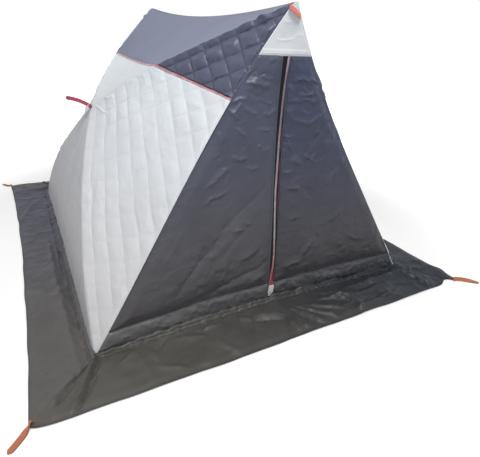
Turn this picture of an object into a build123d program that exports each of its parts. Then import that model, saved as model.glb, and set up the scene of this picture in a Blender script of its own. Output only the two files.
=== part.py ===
"""Pop-up ice fishing hut: a quilted fabric shelter stretched over two hub-framed side walls.

Each side wall is four fabric facets that meet along bowed rods. The rods run from a central hub
to the two base corners and to the two ends of a sagging ridge. A triangular wall closes each
end; the front one opens at a zip from the hem to the peak patch. A flat snow skirt runs round
the base. There is no floor.

Frame: millimetres, +Z up, origin on the ground at the centre of the base, front wall at -Y.
The left wall and the front half are modelled; the right wall and the back are their mirrors.
"""
from build123d import *
import os

# ---------------------------------------------------------------- driving dimensions (mm)
BASE_WIDTH = 2000.0        # between the outer faces of the side walls at the ground
BASE_LENGTH = 2200.0       # between the front and back base corners
RIDGE_HEIGHT = 1530.0      # of the two ridge ends
RIDGE_INSET = 93.0         # how far each ridge end stands in from the base line
RIDGE_SAG = 56.0           # drop of the ridge at its middle
RIDGE_HALF_WIDTH = 12.0    # half the width of the binding along the ridge
HUB_REACH = 722.0          # hub point to the hut's middle plane
HUB_HEIGHT = 940.0
LOWER_ROD_LIFT = (83.0, 83.0)   # bow of a lower rod: control points near the hub, near the end
UPPER_ROD_LIFT = (80.0, 30.0)   # bow of an upper rod, which leaves the hub more steeply
FACET_SLACK = 22.0         # how far the fabric between two rods is drawn in
END_EDGE_BOW = 66.0        # how far an end wall's slanting edges are drawn back at two thirds height
END_WALL_CROWN = 28.0      # how far the middle of an end wall stands out from those edges
BASE_PULL = 50.0           # how far the foot of an end wall is drawn back at its middle
WALL_THICKNESS = 8.0       # outer cloth, wadding and lining

SEAM_ON_ROD = 0.44         # the colour seam crosses an upper rod at this share of its length
SEAM_ON_EDGE = 0.74        # and the end wall's edge at this share of its height
PIPING_WIDTH = 9.0
PIPING_PROUD = 2.5

HEM_HEIGHT = 120.0         # gathered band at the foot of an end wall
PEAK_PATCH_HEIGHT = 210.0  # from the lower edge of the front peak patch up to the ridge ends
ZIP_WIDTH = 36.0
ZIP_COIL_WIDTH = 12.0
ZIP_COIL_PROUD = 3.0
ZIP_FOOT = 30.0            # the coil starts this far above the ground
SLIDER_LENGTH = 30.0
SLIDER_WIDTH = 19.0
SLIDER_THICKNESS = 6.0
SLIDER_WAIST = 14.0        # width of the slider's narrow end
SLIDER_HEIGHT = 104.0      # narrow end of the closed slider above the ground
SLIDER_EDGE_RADIUS = 2.0
PULL_TAG_LENGTH = 74.0
PULL_TAG_WIDTH = 38.0
PULL_TAG_THICKNESS = 2.0
TAG_CORNER_RADIUS = 5.0
PULL_TAG_LAP = 8.0         # length of the tag that is threaded over the slider

SKIRT_FRONT_WIDTH = 290.0
SKIRT_SIDE_WIDTH = 288.0
SKIRT_SIDE_HOLLOW = 34.0   # how far a side strip's free edge is drawn in at its middle
SKIRT_THICKNESS = 2.5

WEBBING_WIDTH = 25.0
WEBBING_THICKNESS = 3.0
CORNER_LOOP_LENGTH = 125.0
CORNER_LOOP_LAP = 20.0     # length of webbing sewn on top of the skirt
CORNER_LOOP_BEARING = 225.0    # degrees round from +X, outwards from the front left corner
PEAK_TAB_DROP = 28.0       # from a ridge end down to the middle of the webbing across the peak
PEAK_TAB_TILT = 28.0       # degrees that it slopes down to the right
PULL_STRAP_LENGTH = 150.0
PULL_STRAP_WIDTH = 20.0
PULL_STRAP_DROOP = 12.0    # degrees below the hub's axis
STRAP_FOOT_LENGTH = 24.0   # the part of the pull strap sewn flat on the hub patch

HUB_PATCH_RADIUS = 24.0    # disc sewn over the small opening where the facets meet
HUB_PATCH_THICKNESS = 2.5
HUB_STEM_RADIUS = 7.0      # holds the disc to the hub through that opening
FACET_START_RADIUS = 20.0  # the facets stop this far from the hub point
HUB_DEPTH = 13.5           # top of the hub below the fabric's outer face
HUB_RADIUS = 38.0
HUB_THICKNESS = 28.0
HUB_EDGE_RADIUS = 4.0
HUB_SLOT_ROOT = 16.0       # radius at which a rod slot starts
PIVOT_RADIUS = 2.5
PIVOT_CIRCLE = 28.0        # radius of the circle the pivot pins stand on
SOCKET_RADIUS = 8.0
SOCKET_LENGTH = 105.0      # from the pivot pin to the socket's mouth
SOCKET_TONGUE = 10.0       # thickness of the tongue that turns in the hub's slot
TONGUE_LENGTH = 24.0       # from the pivot pin to the barrel
ROD_RADIUS = 4.75
ROD_GRIP = 60.0            # length of rod inside its socket
ROD_DEPTH = HUB_DEPTH + HUB_THICKNESS / 2   # rod centre line below the fabric's outer face
ROD_END_SHARE = 0.985      # a rod ends at this share of the way to its corner
ROD_TIP_RADIUS = 7.5

SEWN_GAP = 0.3             # soft pieces lie this far from what they are sewn to
COIL_GAP = 0.7             # and the zip's coil stands this far in front of its tape
FIT_GAP = 0.1              # clearance of tongues and pins in the hub
ROD_FIT_GAP = 0.25         # radial clearance of a rod in its socket
BORE_END_GAP = 3.0         # between a rod's end and the bottom of its socket

HALF_WIDTH = BASE_WIDTH / 2
HALF_LENGTH = BASE_LENGTH / 2

# ---------------------------------------------------------------- points of the frame
BASE_CORNER = Vector(-HALF_WIDTH, -HALF_LENGTH, 0)                                # front left
RIDGE_END = Vector(-RIDGE_HALF_WIDTH, -HALF_LENGTH + RIDGE_INSET, RIDGE_HEIGHT)   # front left
HUB_POINT = Vector(-HUB_REACH, 0, HUB_HEIGHT)


def across_x(p):
    """The same point on the other side wall."""
    return Vector(-p.X, p.Y, p.Z)


def across_y(p):
    """The same point at the other end of the hut."""
    return Vector(p.X, -p.Y, p.Z)


def sunk(p, depth):
    """A point moved in from the outer face: a shrink of the whole form towards the base's centre.

    Every panel uses it, so two panels that share an outer edge also share their sewn-up sides.
    """
    return Vector(p.X * (1 - depth / HALF_WIDTH), p.Y * (1 - depth / HALF_LENGTH),
                  p.Z * (1 - depth / RIDGE_HEIGHT))


WALL_NORMAL = (RIDGE_END - BASE_CORNER).cross(across_y(BASE_CORNER) - BASE_CORNER).normalized()
if WALL_NORMAL.X > 0:
    WALL_NORMAL = WALL_NORMAL * -1


# ---------------------------------------------------------------- Bezier curves and panels
def between(a, b, share):
    return a + (b - a) * share


def cubic(start, end, lift_1, lift_2):
    """Control points of a curve from start to end, its two inner ones moved by the two lifts."""
    return [start, between(start, end, 1 / 3) + lift_1, between(start, end, 2 / 3) + lift_2, end]


def straight(start, end):
    return cubic(start, end, Vector(), Vector())


def point_on(curve, share):
    """De Casteljau's point on a Bezier curve."""
    points = curve
    while len(points) > 1:
        points = [between(a, b, share) for a, b in zip(points, points[1:])]
    return points[0]


def rest_of(curve, share):
    """Control points of the part of a Bezier curve after a share of its length."""
    points, kept = curve, [curve[-1]]
    while len(points) > 1:
        points = [between(a, b, share) for a, b in zip(points, points[1:])]
        kept.insert(0, points[-1])
    return kept


def stretch_of(curve, start, end):
    """Control points of the part of a Bezier curve between two shares of its length."""
    rest = rest_of(curve, start)
    return rest_of(rest[::-1], 1 - (end - start) / (1 - start))[::-1]


def coons(foot, head, left, right, push=Vector()):
    """4 x 4 control points of the patch between four cubic curves, its middle moved by push."""
    rows = []
    for j in range(4):
        v = j / 3
        row = []
        for i in range(4):
            u = i / 3
            p = (foot[i] * (1 - v) + head[i] * v + left[j] * (1 - u) + right[j] * u
                 - (foot[0] * (1 - u) * (1 - v) + foot[3] * u * (1 - v)
                    + head[0] * (1 - u) * v + head[3] * u * v))
            if i in (1, 2) and j in (1, 2):
                p = p + push
            row.append(p)
        rows.append(row)
    return rows


MIDDLE_SHARE = 0.5625      # share of an inner push that reaches a cubic patch's middle


def panel(grid, proud=0.0, depth=WALL_THICKNESS):
    """Closed solid between a Bezier patch and the same patch sunk by the wall's thickness."""
    outer = [[sunk(p, -proud) for p in row] for row in grid]
    inner = [[sunk(p, depth) for p in row] for row in grid]
    columns = [[list(column) for column in zip(*side)] for side in (outer, inner)]
    faces = [Face.make_bezier_surface(outer), Face.make_bezier_surface(inner)]
    for end in (0, -1):
        faces.append(Face.make_bezier_surface([outer[end], inner[end]]))
        faces.append(Face.make_bezier_surface([columns[0][end], columns[1][end]]))
    solid = Solid(Shell(faces))
    return solid if solid.volume > 0 else Solid(solid.wrapped.Reversed())


def above(shape, plane, offset=0.0):
    return shape.split(plane.offset(offset), keep=Keep.TOP)


def below(shape, plane, offset=0.0):
    return shape.split(plane.offset(offset), keep=Keep.BOTTOM)


def slice_of(shape, plane, low, high):
    """The part of a shape between two offsets of a plane."""
    return below(above(shape, plane, low), plane, high)


def to_right(shape):
    return mirror(shape, Plane.YZ)


def to_back(shape):
    return mirror(shape, Plane.XZ)


# ---------------------------------------------------------------- lines of the left wall
def rod_line(corner, lifts):
    """Crease over a rod, from the hub point to a corner, bowed out along the wall's normal."""
    return cubic(HUB_POINT, corner, WALL_NORMAL * lifts[0], WALL_NORMAL * lifts[1])


def facet_edge(line):
    """The part of a rod's crease that the facets follow, outside the hub's opening."""
    return rest_of(line, FACET_START_RADIUS / (line[-1] - line[0]).length)


LOWER_ROD = rod_line(BASE_CORNER, LOWER_ROD_LIFT)      # front ones; the rear ones mirror them
UPPER_ROD = rod_line(RIDGE_END, UPPER_ROD_LIFT)
LOWER_CREASE = facet_edge(LOWER_ROD)
UPPER_CREASE = facet_edge(UPPER_ROD)
REAR_LOWER_CREASE = [across_y(p) for p in LOWER_CREASE]
REAR_UPPER_CREASE = [across_y(p) for p in UPPER_CREASE]
END_EDGE = cubic(BASE_CORNER, RIDGE_END, Vector(), Vector(0, 2.25 * END_EDGE_BOW, 0))
BASE_LINE = straight(across_y(BASE_CORNER), BASE_CORNER)
RIDGE_DROP = Vector(0, 0, -4 / 3 * RIDGE_SAG)
RIDGE_LINE = cubic(RIDGE_END, across_y(RIDGE_END), RIDGE_DROP, RIDGE_DROP)


def facet(crease_1, crease_2, outer_edge, proud=0.0):
    """Fabric between two rods, from the hub's opening out to the wall's edge."""
    grid = coons(straight(crease_1[0], crease_2[0]), outer_edge, crease_1, crease_2,
                 WALL_NORMAL * (-FACET_SLACK / MIDDLE_SHARE))
    return panel(grid, proud)


lower_facet = facet(REAR_LOWER_CREASE, LOWER_CREASE, BASE_LINE)
front_facet = facet(LOWER_CREASE, UPPER_CREASE, END_EDGE)
roof_facet = facet(UPPER_CREASE, REAR_UPPER_CREASE, RIDGE_LINE)
proud_front = facet(LOWER_CREASE, UPPER_CREASE, END_EDGE, PIPING_PROUD)
proud_roof = facet(UPPER_CREASE, REAR_UPPER_CREASE, RIDGE_LINE, PIPING_PROUD)

# ---------------------------------------------------------------- colour seam and piping
SEAM_START = point_on(UPPER_ROD, SEAM_ON_ROD)
SEAM_END = point_on(END_EDGE, SEAM_ON_EDGE)
front_seam = Plane(origin=SEAM_START, z_dir=WALL_NORMAL.cross(SEAM_START - SEAM_END))
if front_seam.z_dir.Z < 0:
    front_seam = Plane(origin=SEAM_START, z_dir=front_seam.z_dir * -1)
roof_seam = Plane(origin=SEAM_START, z_dir=WALL_NORMAL.cross(Vector(0, 1, 0)))
if roof_seam.z_dir.Z < 0:
    roof_seam = Plane(origin=SEAM_START, z_dir=roof_seam.z_dir * -1)
HALF_PIPING = PIPING_WIDTH / 2

left = {
    "lower_panel": lower_facet,
    "front_white_panel": below(front_facet, front_seam, -HALF_PIPING),
    "front_dark_panel": above(front_facet, front_seam, HALF_PIPING),
    "roof_white_panel": below(roof_facet, roof_seam, -HALF_PIPING),
    "roof_dark_panel": above(roof_facet, roof_seam, HALF_PIPING),
    "roof_piping": slice_of(proud_roof, roof_seam, -HALF_PIPING, HALF_PIPING),
}
for name in ("white_panel", "dark_panel"):
    left["rear_" + name] = to_back(left["front_" + name])
front_piping = slice_of(proud_front, front_seam, -HALF_PIPING, HALF_PIPING)
left["end_piping"] = Compound([front_piping, to_back(front_piping)])

# ---------------------------------------------------------------- hub, sockets and rods
hub_frame = Plane(origin=HUB_POINT, x_dir=(0, 1, 0), z_dir=WALL_NORMAL)
PATCH_FOOT = hub_frame.to_local_coords(LOWER_CREASE[0]).Z + SEWN_GAP
STEM_LENGTH = PATCH_FOOT + HUB_DEPTH - SEWN_GAP
SLOT_WIDTH = SOCKET_TONGUE + 2 * FIT_GAP
OPEN_LENGTH = 2 * HUB_THICKNESS      # longer than anything that a slot or a bore has to cut

disc = Cylinder(HUB_PATCH_RADIUS, HUB_PATCH_THICKNESS, align=(Align.CENTER, Align.CENTER, Align.MIN))
stem = Cylinder(HUB_STEM_RADIUS, STEM_LENGTH, align=(Align.CENTER, Align.CENTER, Align.MAX))
left["hub_patch"] = hub_frame * Pos(0, 0, PATCH_FOOT) * (disc + stem)

hub_body = Pos(0, 0, -HUB_DEPTH) * Cylinder(
    HUB_RADIUS, HUB_THICKNESS, align=(Align.CENTER, Align.CENTER, Align.MAX))
hub_body = hub_frame * fillet(hub_body.edges().filter_by(GeomType.CIRCLE), HUB_EDGE_RADIUS)


def rod_parts(crease):
    """The slot cutter and pivot pin of the hub, the socket and the rod that run under one crease."""
    line = [sunk(p, ROD_DEPTH) for p in crease]
    length = (line[-1] - line[0]).length
    start = (PIVOT_CIRCLE + SOCKET_LENGTH - ROD_GRIP) / length
    mouth = point_on(line, (PIVOT_CIRCLE + SOCKET_LENGTH) / length)
    ahead = (mouth - point_on(line, start)).normalized()
    pivot = mouth - ahead * SOCKET_LENGTH
    stand = WALL_NORMAL - ahead * WALL_NORMAL.dot(ahead)
    place = Plane(origin=pivot, x_dir=ahead, z_dir=stand)
    across = Rot(90, 0, 0)
    along = Rot(0, 90, 0)
    slot = Pos(HUB_SLOT_ROOT - PIVOT_CIRCLE, 0, 0) * Box(
        OPEN_LENGTH, SLOT_WIDTH, OPEN_LENGTH, align=(Align.MIN, Align.CENTER, Align.CENTER))
    pin = across * Cylinder(PIVOT_RADIUS, SLOT_WIDTH + PIVOT_RADIUS)
    eye = across * Cylinder(SOCKET_RADIUS, SOCKET_TONGUE)
    tongue = Box(TONGUE_LENGTH, SOCKET_TONGUE, 2 * SOCKET_RADIUS,
                 align=(Align.MIN, Align.CENTER, Align.CENTER))
    barrel_length = SOCKET_LENGTH - TONGUE_LENGTH
    barrel = Pos(TONGUE_LENGTH, 0, 0) * along * Cylinder(
        SOCKET_RADIUS, barrel_length, align=(Align.CENTER, Align.CENTER, Align.MIN))
    bore = Pos(SOCKET_LENGTH, 0, 0) * along * Cylinder(
        ROD_RADIUS + ROD_FIT_GAP, ROD_GRIP + BORE_END_GAP, align=(Align.CENTER, Align.CENTER, Align.MAX))
    pin_hole = across * Cylinder(PIVOT_RADIUS + FIT_GAP, OPEN_LENGTH)
    socket = eye + tongue + barrel - bore - pin_hole
    centre_line = Edge.make_bezier(*stretch_of(line, start, ROD_END_SHARE))
    rod = sweep(Plane(origin=centre_line @ 0, z_dir=centre_line % 0) * Circle(ROD_RADIUS),
                path=centre_line)
    tip = Pos(*(centre_line @ 1)) * Sphere(ROD_TIP_RADIUS)
    return place * slot, place * pin, place * socket, rod + tip


sockets = []
rods = []
for crease in (LOWER_ROD, UPPER_ROD, [across_y(p) for p in UPPER_ROD], [across_y(p) for p in LOWER_ROD]):
    slot, pin, socket, rod = rod_parts(crease)
    hub_body = hub_body - slot + pin
    sockets.append(socket)
    rods.append(rod)
left["hub"] = hub_body
left["hub_sockets"] = Compound(sockets)
left["rods"] = Compound(rods)

# ---------------------------------------------------------------- pull strap on the hub
STRAP_FOOT = PATCH_FOOT + HUB_PATCH_THICKNESS + SEWN_GAP
strap_frame = hub_frame * Pos(0, 0, STRAP_FOOT)
foot_plate = Box(PULL_STRAP_WIDTH, STRAP_FOOT_LENGTH, WEBBING_THICKNESS,
                 align=(Align.CENTER, Align.CENTER, Align.MIN))
strap = Rot(-PULL_STRAP_DROOP, 0, 0) * Box(
    WEBBING_THICKNESS, PULL_STRAP_WIDTH, PULL_STRAP_LENGTH,
    align=(Align.CENTER, Align.CENTER, Align.MIN))
left["pull_strap"] = strap_frame * (foot_plate + strap.split(Plane.XY, keep=Keep.TOP))

# ---------------------------------------------------------------- end walls
APEX_LINE = straight(RIDGE_END, across_x(RIDGE_END))
FOOT_PULL = Vector(0, 4 / 3 * BASE_PULL, 0)
FOOT_LINE = cubic(BASE_CORNER, across_x(BASE_CORNER), FOOT_PULL, FOOT_PULL)
end_grid = coons(FOOT_LINE, APEX_LINE, END_EDGE, [across_x(p) for p in END_EDGE],
                 Vector(0, -END_WALL_CROWN / MIDDLE_SHARE, 0))
end_wall = panel(end_grid)
HALF_ZIP = ZIP_WIDTH / 2
PEAK_PATCH_FOOT = RIDGE_HEIGHT - PEAK_PATCH_HEIGHT
hem_top = Plane.XY.offset(HEM_HEIGHT)
patch_foot = Plane.XY.offset(PEAK_PATCH_FOOT)

half_wall = below(end_wall, Plane.YZ, -HALF_ZIP)
wall_leaf = slice_of(half_wall, Plane.XY, HEM_HEIGHT, PEAK_PATCH_FOOT)
half_hem = below(half_wall, hem_top)
zip_strip = slice_of(end_wall, Plane.YZ, -HALF_ZIP, HALF_ZIP)
coil_skin = panel(end_grid, ZIP_COIL_PROUD, -COIL_GAP)
coil = slice_of(coil_skin, Plane.YZ, -ZIP_COIL_WIDTH / 2, ZIP_COIL_WIDTH / 2)

hut = {}
for name, shape in left.items():
    hut["left_" + name] = shape
    hut["right_" + name] = to_right(shape)
hut["front_wall_left"] = wall_leaf
hut["front_wall_right"] = to_right(wall_leaf)
hut["front_hem_band"] = Compound([half_hem, to_right(half_hem)])
hut["front_zip_tape"] = below(zip_strip, patch_foot)
hut["front_peak_patch"] = above(end_wall, patch_foot)
hut["back_wall"] = to_back(above(end_wall, hem_top))
hut["back_hem_band"] = to_back(below(end_wall, hem_top))

# ---------------------------------------------------------------- ridge binding
binding_edge = [p + Vector(SEWN_GAP, 0, 0) for p in RIDGE_LINE]
hut["ridge_binding"] = panel(coons(
    straight(binding_edge[0], across_x(binding_edge[0])),
    straight(binding_edge[3], across_x(binding_edge[3])),
    binding_edge, [across_x(p) for p in binding_edge]))


# ---------------------------------------------------------------- zip coil, slider and pull tag
def wall_frame(height, proud):
    """Frame on the front wall's middle line: x to the right, y up the wall, z out of it."""
    middle_line = [point_on(row, 0.5) for row in end_grid]
    here = point_on(middle_line, height / RIDGE_HEIGHT)
    up = point_on(middle_line, (height + SLIDER_LENGTH) / RIDGE_HEIGHT) - here
    return Plane(origin=sunk(here, -proud), x_dir=(1, 0, 0), z_dir=Vector(1, 0, 0).cross(up))


slider_frame = wall_frame(SLIDER_HEIGHT, ZIP_COIL_PROUD + SEWN_GAP)
slider_outline = Polyline(
    (-SLIDER_WAIST / 2, 0), (SLIDER_WAIST / 2, 0), (SLIDER_WIDTH / 2, SLIDER_LENGTH * 0.55),
    (SLIDER_WIDTH / 2, SLIDER_LENGTH), (-SLIDER_WIDTH / 2, SLIDER_LENGTH),
    (-SLIDER_WIDTH / 2, SLIDER_LENGTH * 0.55), close=True)
slider = extrude(make_face(slider_outline), SLIDER_THICKNESS)
slider = fillet(slider.edges().filter_by(Axis.Z), SLIDER_EDGE_RADIUS)
hut["front_zip_coil"] = slice_of(coil, Plane.XY, ZIP_FOOT, PEAK_PATCH_FOOT - SEWN_GAP)
hut["front_zip_slider"] = slider_frame * slider
tag_foot = Pos(0, PULL_TAG_LAP, SLIDER_THICKNESS + SEWN_GAP)
tag = tag_foot * Box(PULL_TAG_WIDTH, PULL_TAG_LENGTH, PULL_TAG_THICKNESS,
                     align=(Align.CENTER, Align.MAX, Align.MIN))
hut["front_pull_tag"] = slider_frame * fillet(tag.edges().filter_by(Axis.Z), TAG_CORNER_RADIUS)

# ---------------------------------------------------------------- peak tabs
webbing_skin = panel(end_grid, WEBBING_THICKNESS + SEWN_GAP, -SEWN_GAP)
tab_plane = Plane(origin=(0, 0, RIDGE_HEIGHT - PEAK_TAB_DROP),
                  z_dir=Vector(0, 0, 1).rotate(Axis.Y, PEAK_TAB_TILT))
peak_tab = slice_of(webbing_skin, tab_plane, -WEBBING_WIDTH / 2, WEBBING_WIDTH / 2)
hut["peak_tabs"] = Compound([peak_tab, to_back(peak_tab)])

# ---------------------------------------------------------------- snow skirt
SKIRT_CORNER = Vector(-HALF_WIDTH - SKIRT_SIDE_WIDTH, -HALF_LENGTH - SKIRT_FRONT_WIDTH, 0)
step_out = Vector(0, -SEWN_GAP, 0)
end_strip = make_face([
    Edge.make_bezier(*[p + step_out for p in FOOT_LINE]),
    Edge.make_line(FOOT_LINE[3] + step_out, across_x(SKIRT_CORNER) + step_out),
    Edge.make_line(across_x(SKIRT_CORNER) + step_out, SKIRT_CORNER + step_out),
    Edge.make_line(SKIRT_CORNER + step_out, FOOT_LINE[0] + step_out),
])
step_aside = Vector(-SEWN_GAP, 0, 0)
side_strip = make_face([
    Edge.make_line(across_y(BASE_CORNER) + step_aside, BASE_CORNER + step_aside),
    Edge.make_line(BASE_CORNER + step_aside, SKIRT_CORNER),
    Edge.make_three_point_arc(
        SKIRT_CORNER, Vector(SKIRT_CORNER.X + SKIRT_SIDE_HOLLOW, 0, 0), across_y(SKIRT_CORNER)),
    Edge.make_line(across_y(SKIRT_CORNER), across_y(BASE_CORNER) + step_aside),
])
front_skirt = extrude(end_strip, SKIRT_THICKNESS, dir=(0, 0, 1))
left_skirt = extrude(side_strip, SKIRT_THICKNESS, dir=(0, 0, 1))
hut["front_skirt"] = front_skirt
hut["back_skirt"] = to_back(front_skirt)
hut["left_skirt"] = left_skirt
hut["right_skirt"] = to_right(left_skirt)

# ---------------------------------------------------------------- corner loops
LOOP_LIFT = SKIRT_THICKNESS + SEWN_GAP
loop_profile = Polyline(
    (-CORNER_LOOP_LAP, LOOP_LIFT), (LOOP_LIFT, LOOP_LIFT), (4 * LOOP_LIFT, 0),
    (CORNER_LOOP_LENGTH, 0), (CORNER_LOOP_LENGTH, WEBBING_THICKNESS),
    (5 * LOOP_LIFT, WEBBING_THICKNESS), (2 * LOOP_LIFT, LOOP_LIFT + WEBBING_THICKNESS),
    (-CORNER_LOOP_LAP, LOOP_LIFT + WEBBING_THICKNESS), close=True)
loop = Rot(90, 0, 0) * extrude(make_face(loop_profile), WEBBING_WIDTH / 2, both=True)
left_loop = Pos(*SKIRT_CORNER) * Rot(0, 0, CORNER_LOOP_BEARING) * loop
front_loops = [left_loop, to_right(left_loop)]
hut["corner_loops"] = Compound(front_loops + [to_back(loop) for loop in front_loops])

# ---------------------------------------------------------------- write one STEP per piece
os.makedirs("parts", exist_ok=True)
for name, shape in hut.items():
    export_step(shape, os.path.join("parts", name + ".step"))
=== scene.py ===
"""Looks of the pop-up ice fishing hut: quilted panels, gathered hems, a creased skirt, webbing and zip.

Metres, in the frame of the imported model: +Z up, front wall at -Y, origin on the ground at the centre.
Every cloth piece is a surface of two parameters on a grid, worked out with numpy. The smooth form
repeats the hut's own: bicubic patches between bowed creases. Relief is then added along its normal.
"""
import math

import bmesh
import bpy
import numpy as np
from mathutils import Matrix, Vector


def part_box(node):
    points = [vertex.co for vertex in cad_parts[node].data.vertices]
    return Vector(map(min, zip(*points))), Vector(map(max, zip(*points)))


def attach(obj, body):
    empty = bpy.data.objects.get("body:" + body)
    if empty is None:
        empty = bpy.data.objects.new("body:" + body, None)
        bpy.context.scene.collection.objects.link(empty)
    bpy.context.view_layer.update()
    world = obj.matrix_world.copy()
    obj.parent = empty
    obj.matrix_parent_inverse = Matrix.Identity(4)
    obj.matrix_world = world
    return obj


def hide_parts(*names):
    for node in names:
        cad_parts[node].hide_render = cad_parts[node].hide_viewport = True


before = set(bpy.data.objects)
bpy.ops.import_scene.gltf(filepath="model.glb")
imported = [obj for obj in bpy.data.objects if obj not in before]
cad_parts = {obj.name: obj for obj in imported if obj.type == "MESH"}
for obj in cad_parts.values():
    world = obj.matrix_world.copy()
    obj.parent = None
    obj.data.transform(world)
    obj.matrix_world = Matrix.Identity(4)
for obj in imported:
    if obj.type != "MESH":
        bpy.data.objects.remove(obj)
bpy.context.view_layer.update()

# ---------------------------------------------------------------- sizes (metres)
BASE_CORNER = np.array(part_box("left_lower_panel")[0])          # front left, on the ground
RIDGE_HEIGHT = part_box("front_peak_patch")[1][2]
RIDGE_END = np.array([-0.012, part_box("ridge_binding")[0][1], RIDGE_HEIGHT])
HUB_POINT = np.array([-0.722, 0.0, 0.940])   # where the left wall's four creases would meet
HALF_SIZE = np.array([-BASE_CORNER[0], -BASE_CORNER[1], RIDGE_HEIGHT])
LOWER_ROD_LIFT = (0.083, 0.083)      # how far a rod's bow pushes out its curve's two inner points
UPPER_ROD_LIFT = (0.080, 0.030)
FACET_START = 0.020          # the facets stop this far from the hub point
FACET_SLACK = 0.022          # how far a facet's middle is drawn in
RIDGE_SAG = 0.056
END_EDGE_BOW = 0.066         # how far an end wall's edges are drawn in along the hut
END_WALL_CROWN = 0.028       # how far an end wall's middle stands out
BASE_PULL = 0.050            # how far its foot is drawn in at the middle
MIDDLE_SHARE = 0.5625        # share of an inner push that reaches a cubic patch's middle
ONE_PUSH = 9 / 4             # how far one inner point of a cubic moves for a bow of one
BOTH_PUSH = 4 / 3            # how far its two inner points move together for a sag of one
WALL_THICKNESS = 0.008

SEAM_ON_ROD = 0.44           # the colour seam crosses an upper rod at this share of its length
SEAM_ON_EDGE = 0.74          # and the end wall's edge at this share of its height
HEM_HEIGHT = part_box("back_hem_band")[1][2]
PATCH_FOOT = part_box("front_peak_patch")[0][2]
HALF_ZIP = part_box("front_zip_tape")[1][0]
HALF_PIPING = 0.0045

MESH_STEP = 0.0070           # spacing of the grid on a panel full of small folds
PANEL_STEP = 0.0085          # on the front's white panels
PLAIN_STEP = 0.0125          # on panels with a slow relief
LINING_STEP = 4              # the lining's grid is this many times coarser
SEWN_MARGIN = 0.020          # quilting rises to its full height this far from a seam
DEEPEST = -0.0062            # no relief sinks so far that it meets the lining

X_AXIS, Y_AXIS, Z_AXIS = np.eye(3)
MIRROR_X, MIRROR_Y = np.array([-1.0, 1.0, 1.0]), np.array([1.0, -1.0, 1.0])
FLATTENED = np.array([1.0, 0.0, 1.0])       # drops a point onto the plane across the hut
SIDES = ((-1, "left"), (1, "right"))


# ---------------------------------------------------------------- curves and patches
def unit(vector):
    """The vector over its length."""
    return vector / np.linalg.norm(vector)


def cubic(start, end, lift_1=0.0, lift_2=0.0):
    """Control points of a curve: thirds of the chord, the two inner ones moved by the two lifts."""
    third = (end - start) / 3
    return np.array([start, start + third + lift_1, start + third * 2 + lift_2, end])


def weights(t):
    """The four cubic Bernstein weights of each share t: (1-t)^3, 3t(1-t)^2, 3t^2(1-t), t^3."""
    t = np.asarray(t, float)[..., None]
    return np.concatenate([(1 - t) ** 3, 3 * t * (1 - t) ** 2, 3 * t ** 2 * (1 - t), t ** 3], axis=-1)


def on_curve(curve, t):
    """Weighted sum of the curve's control points."""
    return weights(t) @ curve


def rest_of(curve, share):
    """Control points of the curve's part after a share: its blossom at share and at 1, k times 1."""
    def blossom(shares):
        points = curve
        for s in shares:
            points = points[:-1] * (1 - s) + points[1:] * s
        return points[0]
    return np.array([blossom([1.0] * k + [share] * (3 - k)) for k in range(4)])


def coons(foot, head, left, right, push):
    """4 x 4 control points between four cubics: foot-head blend plus left-right blend less the
    bilinear blend of the corners; the four inner points are then moved by push."""
    v, u = np.meshgrid(np.arange(4) / 3, np.arange(4) / 3, indexing="ij")
    u, v = u[..., None], v[..., None]
    corners = (foot[0] * (1 - u) + foot[3] * u) * (1 - v) + (head[0] * (1 - u) + head[3] * u) * v
    grid = foot[None] * (1 - v) + head[None] * v + left[:, None] * (1 - u) + right[:, None] * u - corners
    grid[1:3, 1:3] += push
    return grid


def on_patch(grid, u, v):
    """Points of a bicubic patch: control points times the weights of v (rows) and u (columns)."""
    return np.einsum("...j,...i,jik->...k", weights(v), weights(u), grid)


def sunk(points, depth):
    """Points moved in from the outer face by a shrink of the whole form towards the base's centre."""
    return points * (1 - depth / HALF_SIZE)


def facing(vector, axis):
    """The vector's unit length along or against it, whichever points the axis's way."""
    return unit(vector) * np.sign(vector @ axis)


WALL_NORMAL = facing(np.cross(RIDGE_END - BASE_CORNER, Y_AXIS), -X_AXIS)


def over_rod(corner, lifts):
    """The outer fabric's line over a rod, from the hub to a corner."""
    return cubic(HUB_POINT, corner, *[WALL_NORMAL * lift for lift in lifts])


def crease(corner, lifts):
    """That line's part from the edge of the hub's opening on."""
    return rest_of(over_rod(corner, lifts), FACET_START / np.linalg.norm(corner - HUB_POINT))


LOWER_CREASE = crease(BASE_CORNER, LOWER_ROD_LIFT)
UPPER_CREASE = crease(RIDGE_END, UPPER_ROD_LIFT)
END_EDGE = cubic(BASE_CORNER, RIDGE_END, 0.0, Y_AXIS * ONE_PUSH * END_EDGE_BOW)
BASE_LINE = cubic(BASE_CORNER * MIRROR_Y, BASE_CORNER)
RIDGE_LINE = cubic(RIDGE_END, RIDGE_END * MIRROR_Y, *[Z_AXIS * -BOTH_PUSH * RIDGE_SAG] * 2)
FOOT_LINE = cubic(BASE_CORNER, BASE_CORNER * MIRROR_X, *[Y_AXIS * BOTH_PUSH * BASE_PULL] * 2)


def facet(crease_1, crease_2, outer_edge):
    """Patch of fabric between two creases; its middle is drawn in by the fabric's slack."""
    return coons(cubic(crease_1[0], crease_2[0]), outer_edge, crease_1, crease_2,
                 WALL_NORMAL * -FACET_SLACK / MIDDLE_SHARE)


LOWER_FACET = facet(LOWER_CREASE * MIRROR_Y, LOWER_CREASE, BASE_LINE)
FRONT_FACET = facet(LOWER_CREASE, UPPER_CREASE, END_EDGE)
ROOF_FACET = facet(UPPER_CREASE, UPPER_CREASE * MIRROR_Y, RIDGE_LINE)
END_WALL = coons(FOOT_LINE, cubic(RIDGE_END, RIDGE_END * MIRROR_X), END_EDGE, END_EDGE * MIRROR_X,
                 Y_AXIS * -END_WALL_CROWN / MIDDLE_SHARE)

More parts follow.
